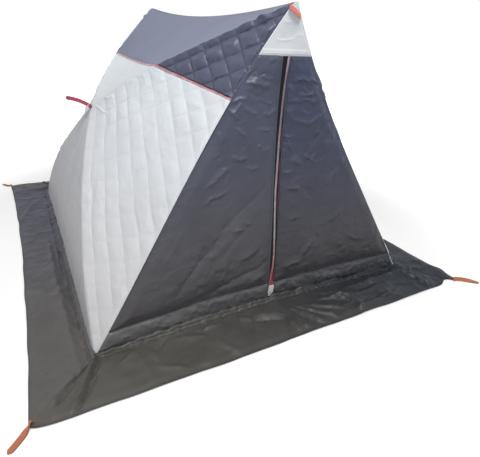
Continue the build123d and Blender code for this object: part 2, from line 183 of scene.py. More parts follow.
SEAM_START = on_curve(over_rod(RIDGE_END, UPPER_ROD_LIFT), SEAM_ON_ROD)
SEAM_END = on_curve(END_EDGE, SEAM_ON_EDGE)
FRONT_SEAM_NORMAL = facing(np.cross(WALL_NORMAL, SEAM_START - SEAM_END), Z_AXIS)
ROOF_SEAM_NORMAL = facing(np.cross(WALL_NORMAL, Y_AXIS), Z_AXIS)


def seam_share(grid, u, normal, offset):
    """For each u, the share v at which the patch passes the seam plane plus an offset; 1 if it
    doesn't. The plane's height is sampled along v and its first crossing found between samples."""
    v = np.linspace(0, 1, 401)
    height = (on_patch(grid, u[:, None], v[None, :]) - SEAM_START) @ normal - offset
    first = (height > 0).argmax(axis=1)
    row = np.arange(len(u))
    below, above = height[row, first - 1], height[row, first]
    share = v[first - 1] + (v[1] - v[0]) * below / (below - above)
    return np.where((height > 0).any(axis=1), share, 1.0)


def kink_share(offset):
    """The share u at which the front seam reaches the end wall's edge."""
    u = np.linspace(0, 1, 2001)
    height = (on_curve(END_EDGE, u) - SEAM_START) @ FRONT_SEAM_NORMAL - offset
    return float(np.interp(0.0, height, u))


# ---------------------------------------------------------------- random heights and relief
LATTICE = 67                 # random heights repeat after this many steps
LATTICE_START = (301.3, 307.7)
FADE_PAST = 0.15             # a fold's fade starts this share of its length past its end
FADE_SPAN = 0.5
END_WIDTH = 0.4              # a fold's width at its end
LINE_UNITS = np.array([0.001] * 6 + [1.0, 0.001])


def in_metres(rows):
    """Folds or tucks from rows of x1, y1, x2, y2, width, height, lean and bow, all in mm but lean."""
    return np.array(rows) * LINE_UNITS


def smooth(x):
    """0 below 0, 1 above 1 and 3x^2 - 2x^3 between."""
    x = np.clip(x, 0.0, 1.0)
    return x * x * (3 - 2 * x)


def drift(a, b, size, seed):
    """Smooth random height from -1 to 1: a lattice of random values, one each size metres, blended
    along both directions by 6t^5 - 15t^4 + 10t^3."""
    lattice = np.random.default_rng(seed).uniform(-1, 1, (LATTICE, LATTICE))
    x, y = np.asarray(a) / size + LATTICE_START[0], np.asarray(b) / size + LATTICE_START[1]
    i, j = np.floor(x).astype(int), np.floor(y).astype(int)
    fx, fy = [t ** 3 * (t * (6 * t - 15) + 10) for t in (x - i, y - j)]
    corner = [[lattice[(i + di) % LATTICE, (j + dj) % LATTICE] for dj in (0, 1)] for di in (0, 1)]
    near = corner[0][0] * (1 - fy) + corner[0][1] * fy
    far = corner[1][0] * (1 - fy) + corner[1][1] * fy
    return near * (1 - fx) + far * fx


def crumple(a, b, size, seed, sharpness=5.0):
    """Thin raised creases: 1 - |drift| to a power, so that they run where drift crosses zero."""
    warp = 0.35 * size
    a2 = a + warp * drift(a, b, size, seed + 50)
    b2 = b + warp * drift(a, b, size, seed + 51)
    return (1 - np.abs(drift(a2, b2, size, seed))) ** sharpness


def puffs(a, b, cell, crispness, row_share):
    """Quilting from 0 on two families of stitch lines to 1 in a cell: the product of two |sin|
    arches to a power below one, which is steep at the stitches and nearly flat between them. Along
    the rows' stitches it only falls by row_share."""
    columns = np.abs(np.sin(np.pi * a / cell[0])) ** crispness
    rows = np.abs(np.sin(np.pi * b / cell[1])) ** crispness
    return columns * (1 - row_share * (1 - rows))


def along_line(a, b, line):
    """Distance across a line from start to end in widths, and a fade towards its two ends, where
    the width shrinks too. The line bows aside by bow times 4t(1-t); with lean the left side counts
    as wider by 1 + lean."""
    start, end, (width, _, lean, bow) = line[:2], line[2:4], line[4:]
    length = np.linalg.norm(end - start)
    direction = (end - start) / length
    t = ((a - start[0]) * direction[0] + (b - start[1]) * direction[1]) / length
    across = (b - start[1]) * direction[0] - (a - start[0]) * direction[1]
    inside = np.clip(t, 0, 1)
    across = across - bow * 4 * inside * (1 - inside)
    fade = smooth((t + FADE_PAST) / FADE_SPAN) * smooth((1 + FADE_PAST - t) / FADE_SPAN)
    reach = width * (1 + lean * np.tanh(across / width)) * (END_WIDTH + (1 - END_WIDTH) * fade)
    return across / reach, fade


def folded(a, b, folds, tucks):
    """Sum of all folds, each its height times exp(-|d|^1.5), less all tucks, each its depth times
    exp(-|d|), d the distance across the line in widths."""
    relief = np.zeros_like(a)
    for lines, sign, power in ((folds, 1, 1.5), (tucks, -1, 1)):
        for line in lines:
            distance, fade = along_line(a, b, line)
            relief += sign * line[5] * np.exp(-np.abs(distance) ** power) * fade
    return relief


def warped(a, b, amount):
    """The two coordinates moved aside by slow and quick random drifts, so that folds drawn on them
    waver as cloth does."""
    slow, quick = 0.050, 0.019
    return [value + amount * (drift(a, b, slow, seed) + 0.5 * drift(a, b, quick, seed + 1))
            for value, seed in ((a, 900), (b, 902))]


def seam_distance(points):
    """Distance of each grid point from the grid's nearest edge, measured along rows and columns."""
    nearest = np.full(points.shape[:2], np.inf)
    for axis in (0, 1):
        steps = np.linalg.norm(np.diff(points, axis=axis), axis=2)
        run = np.cumsum(np.insert(steps, 0, 0.0, axis=axis), axis=axis)
        total = run.take([-1], axis=axis)
        nearest = np.minimum(nearest, np.minimum(run, total - run))
    return nearest


def in_cloth(points, origin, row, column):
    """Cloth coordinates: how far along the rows and along the columns of its quilting a point
    lies from origin, by least squares as the two directions may be askew."""
    directions = np.stack([unit(row), unit(column)], axis=1)
    return (points - origin) @ np.linalg.pinv(directions).T


# ---------------------------------------------------------------- meshes
DOUBLES = 1e-6               # points nearer than this become one
SAMPLED = 7                  # a panel's main directions are taken from every seventh point


def grid_normals(points):
    """Unit cross product of the grid's two central differences; the mean where they vanish."""
    normal = np.cross(np.gradient(points, axis=0), np.gradient(points, axis=1))
    size = np.linalg.norm(normal, axis=2, keepdims=True)
    mean = unit(normal.reshape(-1, 3).sum(axis=0))
    return np.where(size > 1e-12, normal / np.maximum(size, 1e-12), mean)


def counts(points_of, u_span, v_span, step, multiple):
    """Numbers of grid points along u and v that give about the wanted spacing."""
    u = np.linspace(*u_span, 33)
    v = np.linspace(*v_span, 33)
    coarse = points_of(u[:, None], v[None, :])
    lengths = [np.linalg.norm(np.diff(coarse, axis=k), axis=2).sum(axis=k).max() for k in (0, 1)]
    return [max(1, round(length / step / multiple)) * multiple + 1 for length in lengths]


def ring(rows, columns):
    """Indices of a grid's border, once round and back to its start."""
    index = np.arange(rows * columns).reshape(rows, columns)
    return np.concatenate([index[:-1, 0], index[-1, :-1], index[:0:-1, -1], index[0, :0:-1], index[:1, 0]])


def quads(rows, columns, first=0):
    """Faces of a grid, each by its four corners' indices."""
    index = np.arange(rows * columns).reshape(rows, columns) + first
    return np.stack([index[:-1, :-1], index[1:, :-1], index[1:, 1:], index[:-1, 1:]], -1).reshape(-1, 4)


def sheet_mesh(name, outer, inner, cloth, seam, step=LINING_STEP):
    """Closed mesh of a cloth with two faces. The outer grid is fine, the inner grid takes every
    step-th point, and one rim face joins each inner border edge to the outer points beside it."""
    rows, columns = outer.shape[:2]
    coarse = inner[::step, ::step]
    first = rows * columns
    vertices = np.concatenate([outer.reshape(-1, 3), coarse.reshape(-1, 3)])
    faces = quads(rows, columns).tolist()
    faces += quads(*coarse.shape[:2], first)[:, ::-1].tolist()
    outer_ring = ring(rows, columns)
    inner_ring = ring(*coarse.shape[:2]) + first
    for k in range(len(inner_ring) - 1):
        beside = outer_ring[k * step:k * step + step + 1]
        faces.append([*beside[::-1].tolist(), int(inner_ring[k]), int(inner_ring[k + 1])])
    flat = np.concatenate([cloth.reshape(-1, 2), cloth[::step, ::step].reshape(-1, 2)])
    apart = np.concatenate([seam.reshape(-1), seam[::step, ::step].reshape(-1)])
    return mesh_piece(name, vertices, faces, flat, apart)


def mesh_piece(name, vertices, faces, flat, apart, sharp=50, outwards=False):
    """Object with the mesh at the origin, smooth but for edges sharper than the angle. The cloth
    coordinates flat become its UV map, and the distances apart from a seam a point attribute."""
    mesh = bpy.data.meshes.new(name)
    mesh.from_pydata(np.asarray(vertices).tolist(), [], faces)
    corner = np.empty(len(mesh.loops), np.int32)
    mesh.loops.foreach_get("vertex_index", corner)
    layer = mesh.uv_layers.new(name="cloth")
    layer.data.foreach_set("uv", np.asarray(flat, np.float32)[corner].ravel())
    layer = mesh.attributes.new("seam", "FLOAT", "POINT")
    layer.data.foreach_set("value", np.asarray(apart, np.float32))
    work = bmesh.new()
    work.from_mesh(mesh)
    bmesh.ops.remove_doubles(work, verts=work.verts, dist=DOUBLES)
    bmesh.ops.dissolve_degenerate(work, edges=work.edges, dist=DOUBLES / 10)
    if outwards:
        bmesh.ops.recalc_face_normals(work, faces=work.faces)
    work.to_mesh(mesh)
    work.free()
    mesh.polygons.foreach_set("use_smooth", [True] * len(mesh.polygons))
    mesh.set_sharp_from_angle(angle=math.radians(sharp))
    mesh.update()
    piece = bpy.data.objects.new(name, mesh)
    bpy.context.scene.collection.objects.link(piece)
    return piece


def fit(piece, node, material):
    """Says what a new piece rides on, stands for and is made of."""
    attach(piece, "root")
    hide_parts(node)
    piece.data.materials.append(material)
    return piece


def cut_size(points):
    """The flat cut of a panel: its extents along its two main directions, and its area as the sum
    of half the cross products of the grid cells' diagonals."""
    flat = points.reshape(-1, 3) - points.reshape(-1, 3).mean(axis=0)
    main = np.linalg.svd(flat[::SAMPLED], full_matrices=False)[2][:2]
    length, width = np.ptp(flat @ main.T, axis=0)
    one = points[1:, 1:] - points[:-1, :-1]
    two = points[1:, :-1] - points[:-1, 1:]
    area = np.linalg.norm(np.cross(one, two), axis=2).sum() / 2
    return (float(length), float(width)), float(min(area, length * width))


# ---------------------------------------------------------------- materials
SEAM_STITCH = 0.007          # a row of stitches runs this far from each seam
SEAM_PITCH = 0.0048
QUILT_PITCH = 0.0034
THREAD = 0.0007
# Painted sky reflection: between these heights the cloth turns to its bluer upper tone.
RISE = (0.05, 1.35)          # a colour runs from its lower to its upper tone between these heights
RIB_PITCH = 0.0030
COIL_PITCH = 0.0034          # from one turn of the zip's coil to the next
WHITE = (1.0, 1.0, 1.0)


def feed(tree, target, inputs):
    """Gives each named input of a node a plain value or another node's socket."""
    for key, value in inputs.items():
        if isinstance(value, bpy.types.NodeSocket):
            tree.links.new(value, target.inputs[key])
        else:
            target.inputs[key].default_value = value
    return target


def node(tree, kind, inputs=None, **settings):
    """A shader node with its settings and its inputs."""
    made = tree.nodes.new(kind)
    for key, value in settings.items():
        setattr(made, key, value)
    return feed(tree, made, inputs or {})


def maths(tree, operation, *values):
    """Math node with the operation on its values."""
    return node(tree, "ShaderNodeMath", dict(enumerate(values)), operation=operation).outputs[0]


def times(tree, first, second):
    """Product of two values."""
    return maths(tree, "MULTIPLY", first, second)


def raised(tree, value):
    """A value from -1 to 1 brought to 0 to 1."""
    return maths(tree, "MULTIPLY_ADD", value, 0.5, 0.5)


def ripple(tree, value, pitch):
    """Sine of a length in metres, once round for each pitch."""
    return maths(tree, "SINE", times(tree, value, 2 * math.pi / pitch))


def away_from(tree, value, place):
    """How far a value is from a place."""
    return maths(tree, "ABSOLUTE", maths(tree, "SUBTRACT", value, place))


def noise(tree, spot, scale, detail=3.0, roughness=0.5):
    """Noise of about 1/scale metres, from 0 to 1."""
    return node(tree, "ShaderNodeTexNoise", {"Vector": spot, "Scale": scale, "Detail": detail,
                                             "Roughness": roughness}).outputs["Fac"]


def spread(tree, value, low, high, low_out=0.0, high_out=1.0):
    """Map Range, clamped, with smooth ends."""
    return node(tree, "ShaderNodeMapRange", {"Value": value, "From Min": low, "From Max": high,
                                             "To Min": low_out, "To Max": high_out},
                interpolation_type="SMOOTHSTEP").outputs["Result"]


def blended(tree, share, first, second, kind="MIX"):
    """Mix of two colours or sockets by a share."""
    first, second = [(*tone, 1.0) if isinstance(tone, tuple) else tone for tone in (first, second)]
    return node(tree, "ShaderNodeMix", {0: share, 6: first, 7: second}, data_type="RGBA",
                blend_type=kind).outputs[2]


def dimmed(colour, share):
    """Each channel times a share."""
    return tuple(share * channel for channel in colour)


def toned(tree, colour, factor):
    """Colour times the factor in all three channels."""
    grey = node(tree, "ShaderNodeCombineColor", {0: factor, 1: factor, 2: factor}).outputs[0]
    return blended(tree, 1.0, colour, grey, "MULTIPLY")


def new_material(name):
    """Empty material, with its tree, its shader and its Object coordinates."""
    material = bpy.data.materials.new(name)
    material.use_nodes = True
    tree = material.node_tree
    return material, tree, tree.nodes["Principled BSDF"], node(tree, "ShaderNodeTexCoord").outputs["Object"]


def bumped(tree, height, distance, strength=0.8, normal=None):
    """Bump node of a height from 0 to 1 over a distance in metres, on top of another normal."""
    inputs = {"Height": height, "Distance": distance, "Strength": strength}
    if normal is not None:
        inputs["Normal"] = normal
    return node(tree, "ShaderNodeBump", inputs).outputs["Normal"]


def along(tree, spot, direction):
    """How far a point lies along a direction."""
    return node(tree, "ShaderNodeVectorMath", {0: spot, 1: direction},
                operation="DOT_PRODUCT").outputs["Value"]


def cloth_parts(tree):
    """The two cloth coordinates in metres, from the piece's own UV map."""
    flat = node(tree, "ShaderNodeUVMap", uv_map="cloth").outputs[0]
    split = node(tree, "ShaderNodeSeparateXYZ", {"Vector": flat})
    return split.outputs["X"], split.outputs["Y"]


def seam_part(tree):
    """Distance from the nearest seam or edge, from the piece's own attribute."""
    return node(tree, "ShaderNodeAttribute", attribute_name="seam").outputs["Fac"]


def stitches(tree, across, run, pitch=QUILT_PITCH, thread=THREAD):
    """1 on a row of stitches: within a thread's half width of the row, and in the first two thirds
    of each stitch's length."""
    near = spread(tree, across, thread * 0.6, thread * 1.2, 1.0, 0.0)
    dash = maths(tree, "LESS_THAN", maths(tree, "FRACT", maths(tree, "DIVIDE", run, pitch)), 0.68)
    return times(tree, near, dash)


def cloth(name, low_colour, high_colour, roughness, sheen, sheen_colour, thread, crinkle,
          crinkle_scale=26.0, cell=None, pitch=0.0009, mottle=0.10, grain=0.00012, shade=0.35,
          shade_width=0.004, groove_depth=0.0008, row_share=1.0, towards=Z_AXIS, span=RISE,
          specular=0.5):
    """Woven cloth. Its colour runs from low_colour to high_colour along the direction towards, which is
    painted light: bluer and mostly lighter upwards as a painted sky reflection, and on the hem and
    skirts darker away from the front left as painted shade. It has a slow mottle, dark thread on the
    stitch lines and, by shade, painted shade in the grooves beside them. Bumps: fine crinkles that run
    across each other, the stitch lines and their stitches, and a plain weave, the product of two sines
    of its pitch."""
    material, tree, shader, spot = new_material(name)
    a, b = cloth_parts(tree)
    # Painted light: the tone from low_colour to high_colour along towards.
    colour = blended(tree, spread(tree, along(tree, spot, towards), *span), low_colour, high_colour)
    cloudy = noise(tree, spot, 5.0, 4.0, 0.6)
    colour = toned(tree, colour, spread(tree, cloudy, 0.3, 0.7, 1.0 - mottle, 1.0 + mottle))
    beside = away_from(tree, seam_part(tree), SEAM_STITCH)
    rows = stitches(tree, beside, maths(tree, "ADD", a, b), SEAM_PITCH)
    groove = spread(tree, beside, 0.0, 0.003)
    if cell:
        from_a, from_b = [maths(tree, "PINGPONG", part, size / 2) for part, size in zip((a, b), cell)]
        for across, run in ((from_a, b), (from_b, a)):
            rows = maths(tree, "MAXIMUM", rows, stitches(tree, across, run))
        faint = maths(tree, "ADD", from_b, (1 - row_share) * shade_width)
        nearest = maths(tree, "MINIMUM", from_a, faint)
        groove = times(tree, groove, spread(tree, nearest, 0.0, shade_width))
    # Painted shade: the colour darkens into the stitch grooves, by shade.
    colour = blended(tree, times(tree, maths(tree, "SUBTRACT", 1.0, groove), shade), colour,
                     dimmed(high_colour, 0.15))
    colour = blended(tree, times(tree, rows, 0.6), colour, thread)
    creased = noise(tree, spot, crinkle_scale, 3.0, 0.55)
    creased = maths(tree, "ABSOLUTE", maths(tree, "MULTIPLY_ADD", creased, 2.0, -1.0))
    normal = bumped(tree, creased, crinkle, 1.0)
    normal = bumped(tree, groove, groove_depth, normal=normal)
    normal = bumped(tree, rows, groove_depth * 0.6, normal=normal)
    if grain:
        weave = times(tree, ripple(tree, a, 2 * pitch), ripple(tree, b, 2 * pitch))
        normal = bumped(tree, raised(tree, weave), grain, 0.6, normal)
    gloss = spread(tree, noise(tree, spot, 14.0), 0.3, 0.7, roughness - 0.5 * mottle,
                   roughness + 0.7 * mottle)
    feed(tree, shader, {"Base Color": colour, "Normal": normal, "Roughness": gloss,
                        "Specular IOR Level": specular, "Sheen Weight": sheen, "Sheen Roughness": 0.35,
                        "Sheen Tint": (*sheen_colour, 1.0)})
    return material


def zip_tape(name):
    """Zip tape: near black, its own dark tone deepened into a painted shadow beside the coil, with a
    worn red thread line right of the coil, and red at its foot; a herringbone weave and a row of
    stitches near each edge."""
    material, tree, shader, spot = new_material(name)
    a, b = cloth_parts(tree)
    line = spread(tree, away_from(tree, a, 0.0125), 0.0012, 0.0028, 1.0, 0.0)
    patchy = times(tree, spread(tree, noise(tree, spot, 9.0), 0.38, 0.55), spread(tree, b, 0.45, 0.62))
    # Near black: the tape's own dark colour, deepened as a painted shadow beside the coil.
    colour = blended(tree, times(tree, line, patchy), (0.010, 0.010, 0.014), (0.22, 0.035, 0.075))
    colour = blended(tree, spread(tree, b, 0.12, 0.26, 1.0, 0.0), colour, (0.20, 0.03, 0.05))
    rows = stitches(tree, away_from(tree, seam_part(tree), 0.004), b, SEAM_PITCH, 0.0008)
    slant = maths(tree, "ADD", b, maths(tree, "ABSOLUTE", a))
    twill = bumped(tree, raised(tree, ripple(tree, slant, 0.0016)), 0.0003, 0.7)
    feed(tree, shader, {"Base Color": colour, "Normal": bumped(tree, rows, 0.0005, normal=twill),
                        "Roughness": 0.85, "Specular IOR Level": 0.25})
    return material


def coil_plastic(name):
    """Zip coil: pale nylon that greys towards the top, with the turns of its monofilament."""
    material, tree, shader, spot = new_material(name)
    rise = along(tree, spot, Z_AXIS)
    colour = blended(tree, spread(tree, rise, 0.70, 1.12), (0.31, 0.29, 0.305), (0.17, 0.17, 0.21))
    colour = blended(tree, spread(tree, rise, 0.14, 0.50, 1.0, 0.0), colour, (0.34, 0.17, 0.155))
    colour = blended(tree, spread(tree, rise, 1.22, 1.30), colour, (0.44, 0.30, 0.38))
    colour = toned(tree, colour, spread(tree, noise(tree, spot, 40.0), 0.35, 0.65, 0.82, 1.08))
    turned = raised(tree, ripple(tree, rise, COIL_PITCH))
    feed(tree, shader, {"Base Color": colour, "Normal": bumped(tree, turned, 0.0006), "Roughness": 0.42,
                        "Coat Weight": 0.1})
    return material


def webbing(name, colour, edge_colour):
    """Woven strap: ribs across its length and a twill that leans over them, darker at its edges."""
    material, tree, shader, spot = new_material(name)
    a, b = cloth_parts(tree)
    twill = ripple(tree, maths(tree, "ADD", a, b), 0.0022)
    relief = raised(tree, times(tree, twill, ripple(tree, a, RIB_PITCH)))
    worn = spread(tree, noise(tree, spot, 60.0, 4.0), 0.35, 0.7, 0.0, 0.35)
    tone = blended(tree, spread(tree, seam_part(tree), 0.0, 0.004, 0.8, 0.0), colour, edge_colour)
    tone = blended(tree, worn, tone, dimmed(colour, 0.75))
    tone = blended(tree, times(tree, relief, 0.25), tone, dimmed(colour, 0.6))
    feed(tree, shader, {"Base Color": tone, "Normal": bumped(tree, relief, 0.0006), "Roughness": 0.62,
                        "Sheen Weight": 0.25})
    return material


def piping_cloth(name, lower, upper, edge):
    """Reflective piping: pale along its lower edge, then a colour that fades into a dark upper one."""
    material, tree, shader, spot = new_material(name)
    a, b = cloth_parts(tree)
    tone = blended(tree, spread(tree, b, -0.0005, 0.0045), lower, upper)
    tone = blended(tree, spread(tree, b, -0.0050, -0.0020, 1.0, 0.0), tone, edge)
    tone = toned(tree, tone, spread(tree, noise(tree, spot, 30.0, 4.0), 0.35, 0.65, 0.75, 1.1))
    feed(tree, shader, {"Base Color": tone, "Normal": bumped(tree, ripple(tree, a, RIB_PITCH), 0.0002, 0.6),
                        "Roughness": 0.5, "Sheen Weight": 0.2})
    return material


def moulded(name, colour, roughness, grain_scale, grain=0.0001, metallic=0.0, coat=0.0):
    """Moulded or cast surface: fine grain in bump and a slow change of tone and gloss."""
    material, tree, shader, spot = new_material(name)
    cloudy = noise(tree, spot, 30.0, 4.0, 0.6)
    feed(tree, shader, {
        "Base Color": blended(tree, spread(tree, cloudy, 0.35, 0.65), dimmed(colour, 0.8), colour),
        "Normal": bumped(tree, noise(tree, spot, grain_scale, 2.0), grain, 0.6),
        "Roughness": spread(tree, cloudy, 0.3, 0.7, roughness - 0.06, roughness + 0.08),
        "Metallic": metallic, "Coat Weight": coat})
    return material


WHITE_CELL = (0.096, 0.114)      # the quilting's spacing along its rows and its columns
DARK_CELL = (0.092, 0.088)
PLAIN_CELL = (0.092, 0.092)
# Sheen tints: the sheen itself is lit by the lamps, its bluish tint is a painted sky reflection colour.
BLUE_SHEEN = (0.62, 0.72, 1.0)
SOFT_BLUE_SHEEN = (0.7, 0.8, 1.0)
FAINT_SHEEN = (0.8, 0.85, 1.0)
WHITE_SHEEN = (0.9, 0.95, 1.0)
WHITE_WORDS = dict(cell=WHITE_CELL, shade_width=0.006, row_share=0.8)
# The high tones of the cloths down to the patch, but the hem and skirts, are bluer and mostly lighter:
# painted sky reflection.
WHITE_QUILT = cloth(
    "white_quilt", (0.64, 0.64, 0.655), (0.745, 0.795, 0.85), 0.50, 0.15, WHITE_SHEEN,
    (0.66, 0.67, 0.69), 0.0005, mottle=0.03, shade=0.03, groove_depth=0.0004, **WHITE_WORDS)
# Painted shade: a darker, greyer copy of the white quilt for the lower facets.
PAINTED_SHADE_LOWER_QUILT = cloth(
    "painted_shade_lower_white_quilt", (0.51, 0.505, 0.525), (0.60, 0.62, 0.675), 0.52, 0.10, WHITE_SHEEN,
    (0.56, 0.57, 0.60), 0.0006, mottle=0.04, shade=0.05, groove_depth=0.0005, **WHITE_WORDS)
DARK_QUILT = cloth(
    "dark_quilt", (0.062, 0.066, 0.098), (0.070, 0.081, 0.137), 0.40, 0.30, BLUE_SHEEN,
    (0.05, 0.05, 0.06), 0.0006, cell=DARK_CELL, shade=0.45, shade_width=0.007)
WALL_QUILT = cloth(
    "wall_quilt", (0.060, 0.056, 0.060), (0.055, 0.065, 0.110), 0.38, 0.25, BLUE_SHEEN,
    (0.045, 0.045, 0.055), 0.0016, 20.0, specular=0.55)
# Painted shade: a darker copy of the wall quilt for the front wall's right leaf.
PAINTED_SHADE_RIGHT_WALL_QUILT = cloth(
    "painted_shade_right_wall_quilt", (0.050, 0.047, 0.052), (0.040, 0.050, 0.097), 0.40, 0.20, BLUE_SHEEN,
    (0.040, 0.040, 0.050), 0.0013, 20.0, specular=0.45)
# Painted sky reflection: a lighter, bluer copy of the dark cloth for the roof's dark panels.
PAINTED_SKY_ROOF_QUILT = cloth(
    "painted_sky_roof_quilt", (0.090, 0.104, 0.160), (0.109, 0.128, 0.212), 0.42, 0.50, BLUE_SHEEN,
    (0.10, 0.11, 0.15), 0.0, grain=0.0, mottle=0.0, groove_depth=0.0002)
# Painted shade: the hem turns from a lighter tone at the left to a darker one at the right.
HEM_CLOTH = cloth(
    "hem_cloth", (0.130, 0.130, 0.134), (0.050, 0.052, 0.062), 0.44, 0.25, SOFT_BLUE_SHEEN,
    (0.04, 0.04, 0.05), 0.0012, 34.0, towards=X_AXIS, span=(-0.9, 0.9))
BINDING_CLOTH = cloth(
    "binding_cloth", (0.060, 0.062, 0.070), (0.065, 0.070, 0.095), 0.46, 0.25, SOFT_BLUE_SHEEN,
    (0.04, 0.04, 0.05), 0.0006, 34.0)
# Painted shade: olive at the front left to near black towards the right and back; shade darkens its seam
# groove.
SKIRT_CLOTH = cloth(
    "skirt_cloth", (0.087, 0.082, 0.075), (0.006, 0.011, 0.020), 0.46, 0.10, FAINT_SHEEN,
    (0.05, 0.05, 0.05), 0.0012, 22.0, pitch=0.0007, shade=0.7, towards=(0.80, 0.42, 0.0),
    span=(-1.2, 0.45), specular=0.28)
# Painted shade: the left skirt turns darker and bluer towards the back.
SIDE_SKIRT_CLOTH = cloth(
    "side_skirt_cloth", (0.107, 0.101, 0.096), (0.055, 0.058, 0.083), 0.48, 0.10, FAINT_SHEEN,
    (0.08, 0.08, 0.08), 0.0010, 22.0, pitch=0.0007, towards=Y_AXIS, span=(-1.3, 0.9), specular=0.25)
PATCH_CLOTH = cloth(
    "patch_cloth", (0.75, 0.79, 0.84), (0.78, 0.82, 0.87), 0.38, 0.05, WHITE,
    (0.70, 0.71, 0.73), 0.0006, 30.0, mottle=0.02, grain=0.00005)
ZIP_TAPE = zip_tape("zip_tape")
PIPING = piping_cloth("pink_piping", (0.66, 0.27, 0.31), (0.24, 0.07, 0.12), (0.74, 0.60, 0.61))
ORANGE_WEBBING = webbing("orange_webbing", (0.58, 0.175, 0.075), (0.30, 0.12, 0.06))
TAB_WEBBING = webbing("tab_webbing", (0.80, 0.17, 0.11), (0.66, 0.16, 0.14))
RED_WEBBING = webbing("red_webbing", (0.42, 0.05, 0.11), (0.30, 0.035, 0.075))
TAG_CLOTH = webbing("tag_cloth", (0.84, 0.84, 0.82), (0.66, 0.66, 0.65))
COIL_PLASTIC = coil_plastic("zip_coil")
SLIDER_METAL = moulded("slider_metal", (0.36, 0.11, 0.16), 0.35, 1200.0, metallic=0.3, coat=0.3)
HUB_NYLON = moulded("hub_nylon", (0.030, 0.030, 0.032), 0.50, 1500.0)
SOCKET_NYLON = moulded("socket_nylon", (0.045, 0.045, 0.047), 0.55, 1500.0)
ROD_FIBREGLASS = moulded("rod_fibreglass", (0.10, 0.10, 0.095), 0.30, 600.0, 0.00008, coat=0.3)


# ---------------------------------------------------------------- quilted panels
LOOSE_SIZES = (0.23, 0.09)   # lengths over which the puffs' height varies
BEND, BEND_SIZE = 0.008, 0.12        # how far the stitch lines wander, and over what length
SWELL_SIZE = 0.31
LIVELY_SIZE = 0.27           # size of the areas with more and with fewer creases
BROKEN_ROW_SIZE = 0.15       # length of the stretches in which a row falls by its own share
CREASE_SIZE = 0.075          # spacing of the long creases
WRINKLE_SIZE = 0.034         # and of the short ones
PUCKER_SIZE = 0.017
PUCKER_REACH = 0.045         # puckers fade over this distance from a seam
FOLD_WAVER = 0.009


def quilt(points, cloth_at, seed, height, cell=PLAIN_CELL, crispness=0.5, pucker=0.0012, rough=0.0016,
          wide=0.004, folds=(), tucks=(), margin=SEWN_MARGIN, row_share=1.0, fine=1.0):
    """Relief of a quilted panel: height times puffs times a slow looseness, plus wide times a slow
    swell, rough times thin creases in lively areas, pucker times exp(-distance from a seam / reach)
    times a quick drift, and the folds; all of it times smooth(distance from a seam / margin)."""
    a, b = cloth_at[..., 0], cloth_at[..., 1]
    from_seam = seam_distance(points)
    loose = 0.75 + 0.35 * drift(a, b, LOOSE_SIZES[0], seed) + 0.25 * drift(a, b, LOOSE_SIZES[1], seed + 8)
    bent = BEND * drift(a, b, BEND_SIZE, seed + 6)
    if row_share < 1:
        row_share = row_share * smooth(0.85 + 0.7 * drift(a, b, BROKEN_ROW_SIZE, seed + 9))
    relief = height * puffs(a + bent, b - bent, cell, crispness, row_share) * loose
    relief += wide * drift(a, b, SWELL_SIZE, seed + 1)
    creased = (crumple(a, b, CREASE_SIZE, seed + 3) + 0.6 * drift(a, b, WRINKLE_SIZE, seed + 4)
               + 0.6 * fine * crumple(a, b, WRINKLE_SIZE, seed + 7, 4.0))
    relief += rough * smooth(0.5 + 0.9 * drift(a, b, LIVELY_SIZE, seed + 2)) * creased
    relief += pucker * np.exp(-from_seam / PUCKER_REACH) * drift(a, b, PUCKER_SIZE, seed + 5)
    relief += folded(*warped(a, b, FOLD_WAVER), folds, tucks)
    return relief * smooth(from_seam / margin), from_seam


def placed(points, side, end):
    """Left front points at a side (-1 left, 1 right) and an end (-1 front, 1 back)."""
    return points * np.array([-side, -end, 1.0])


def lined(name, points, relief, cloth_at, from_seam):
    """Cloth over a grid of smooth points: its outer face lies at each point plus the normal times the
    relief, and its plain lining at the point sunk by the wall's thickness. The grid is turned so
    that its normals point outwards. Also gives the flat cut and the area."""
    if (grid_normals(points) * (points - sunk(points, 1.0))).sum() < 0:
        points, relief, cloth_at, from_seam = [grid[::-1] for grid in (points, relief, cloth_at, from_seam)]
    outer = points + grid_normals(points) * relief[..., None]
    piece = sheet_mesh(name, outer, sunk(points, WALL_THICKNESS), cloth_at, from_seam)
    return piece, *cut_size(points)


def stretched(name, points, relief, cloth_at, from_seam, material):
    """One sheet that is held taut all round."""
    piece, size, area = lined(name, points, relief, cloth_at, from_seam)
    fit(piece, name, material)


def quilted(name, points, cloth_at, material, slot, seed, side=-1, end=-1, more=0.0, calm=1.0,
            **relief_words):
    """One quilted panel from its smooth points. The relief that more gives isn't held down at the
    seams; all of it is scaled by calm."""
    relief, from_seam = quilt(points, cloth_at, seed, **relief_words)
    relief = np.maximum((relief + more) * calm, DEEPEST)
    stretched(name, placed(points, side, end), relief, cloth_at, from_seam, material)


def part_of(grid, u_breaks, low, high, step):
    """Grid of points on a patch between two limits of v for each u. The columns have a break at
    each of u_breaks, so that a corner of the outline falls on a column."""
    def points_at(u, t):
        bottom, top = low(u), high(u)
        return on_patch(grid, u, bottom + (top - bottom) * t)
    columns = []
    for start, stop in zip(u_breaks, u_breaks[1:]):
        number = counts(points_at, (start, stop), (0, 1), step, LINING_STEP)[0]
        columns.append(np.linspace(start, stop, number)[(1 if columns else 0):])
    number = counts(points_at, (u_breaks[0], u_breaks[-1]), (0, 1), step, LINING_STEP)[1]
    return points_at(np.concatenate(columns)[:, None], np.linspace(0, 1, number)[None, :])


def at(value):
    """A limit that is the same for every u."""
    return lambda u: np.full_like(u, value)


def seam_at(grid, normal, offset):
    """A limit that follows the colour seam on a patch, offset aside from it."""
    return lambda u: seam_share(grid, u.ravel(), normal, offset).reshape(u.shape)


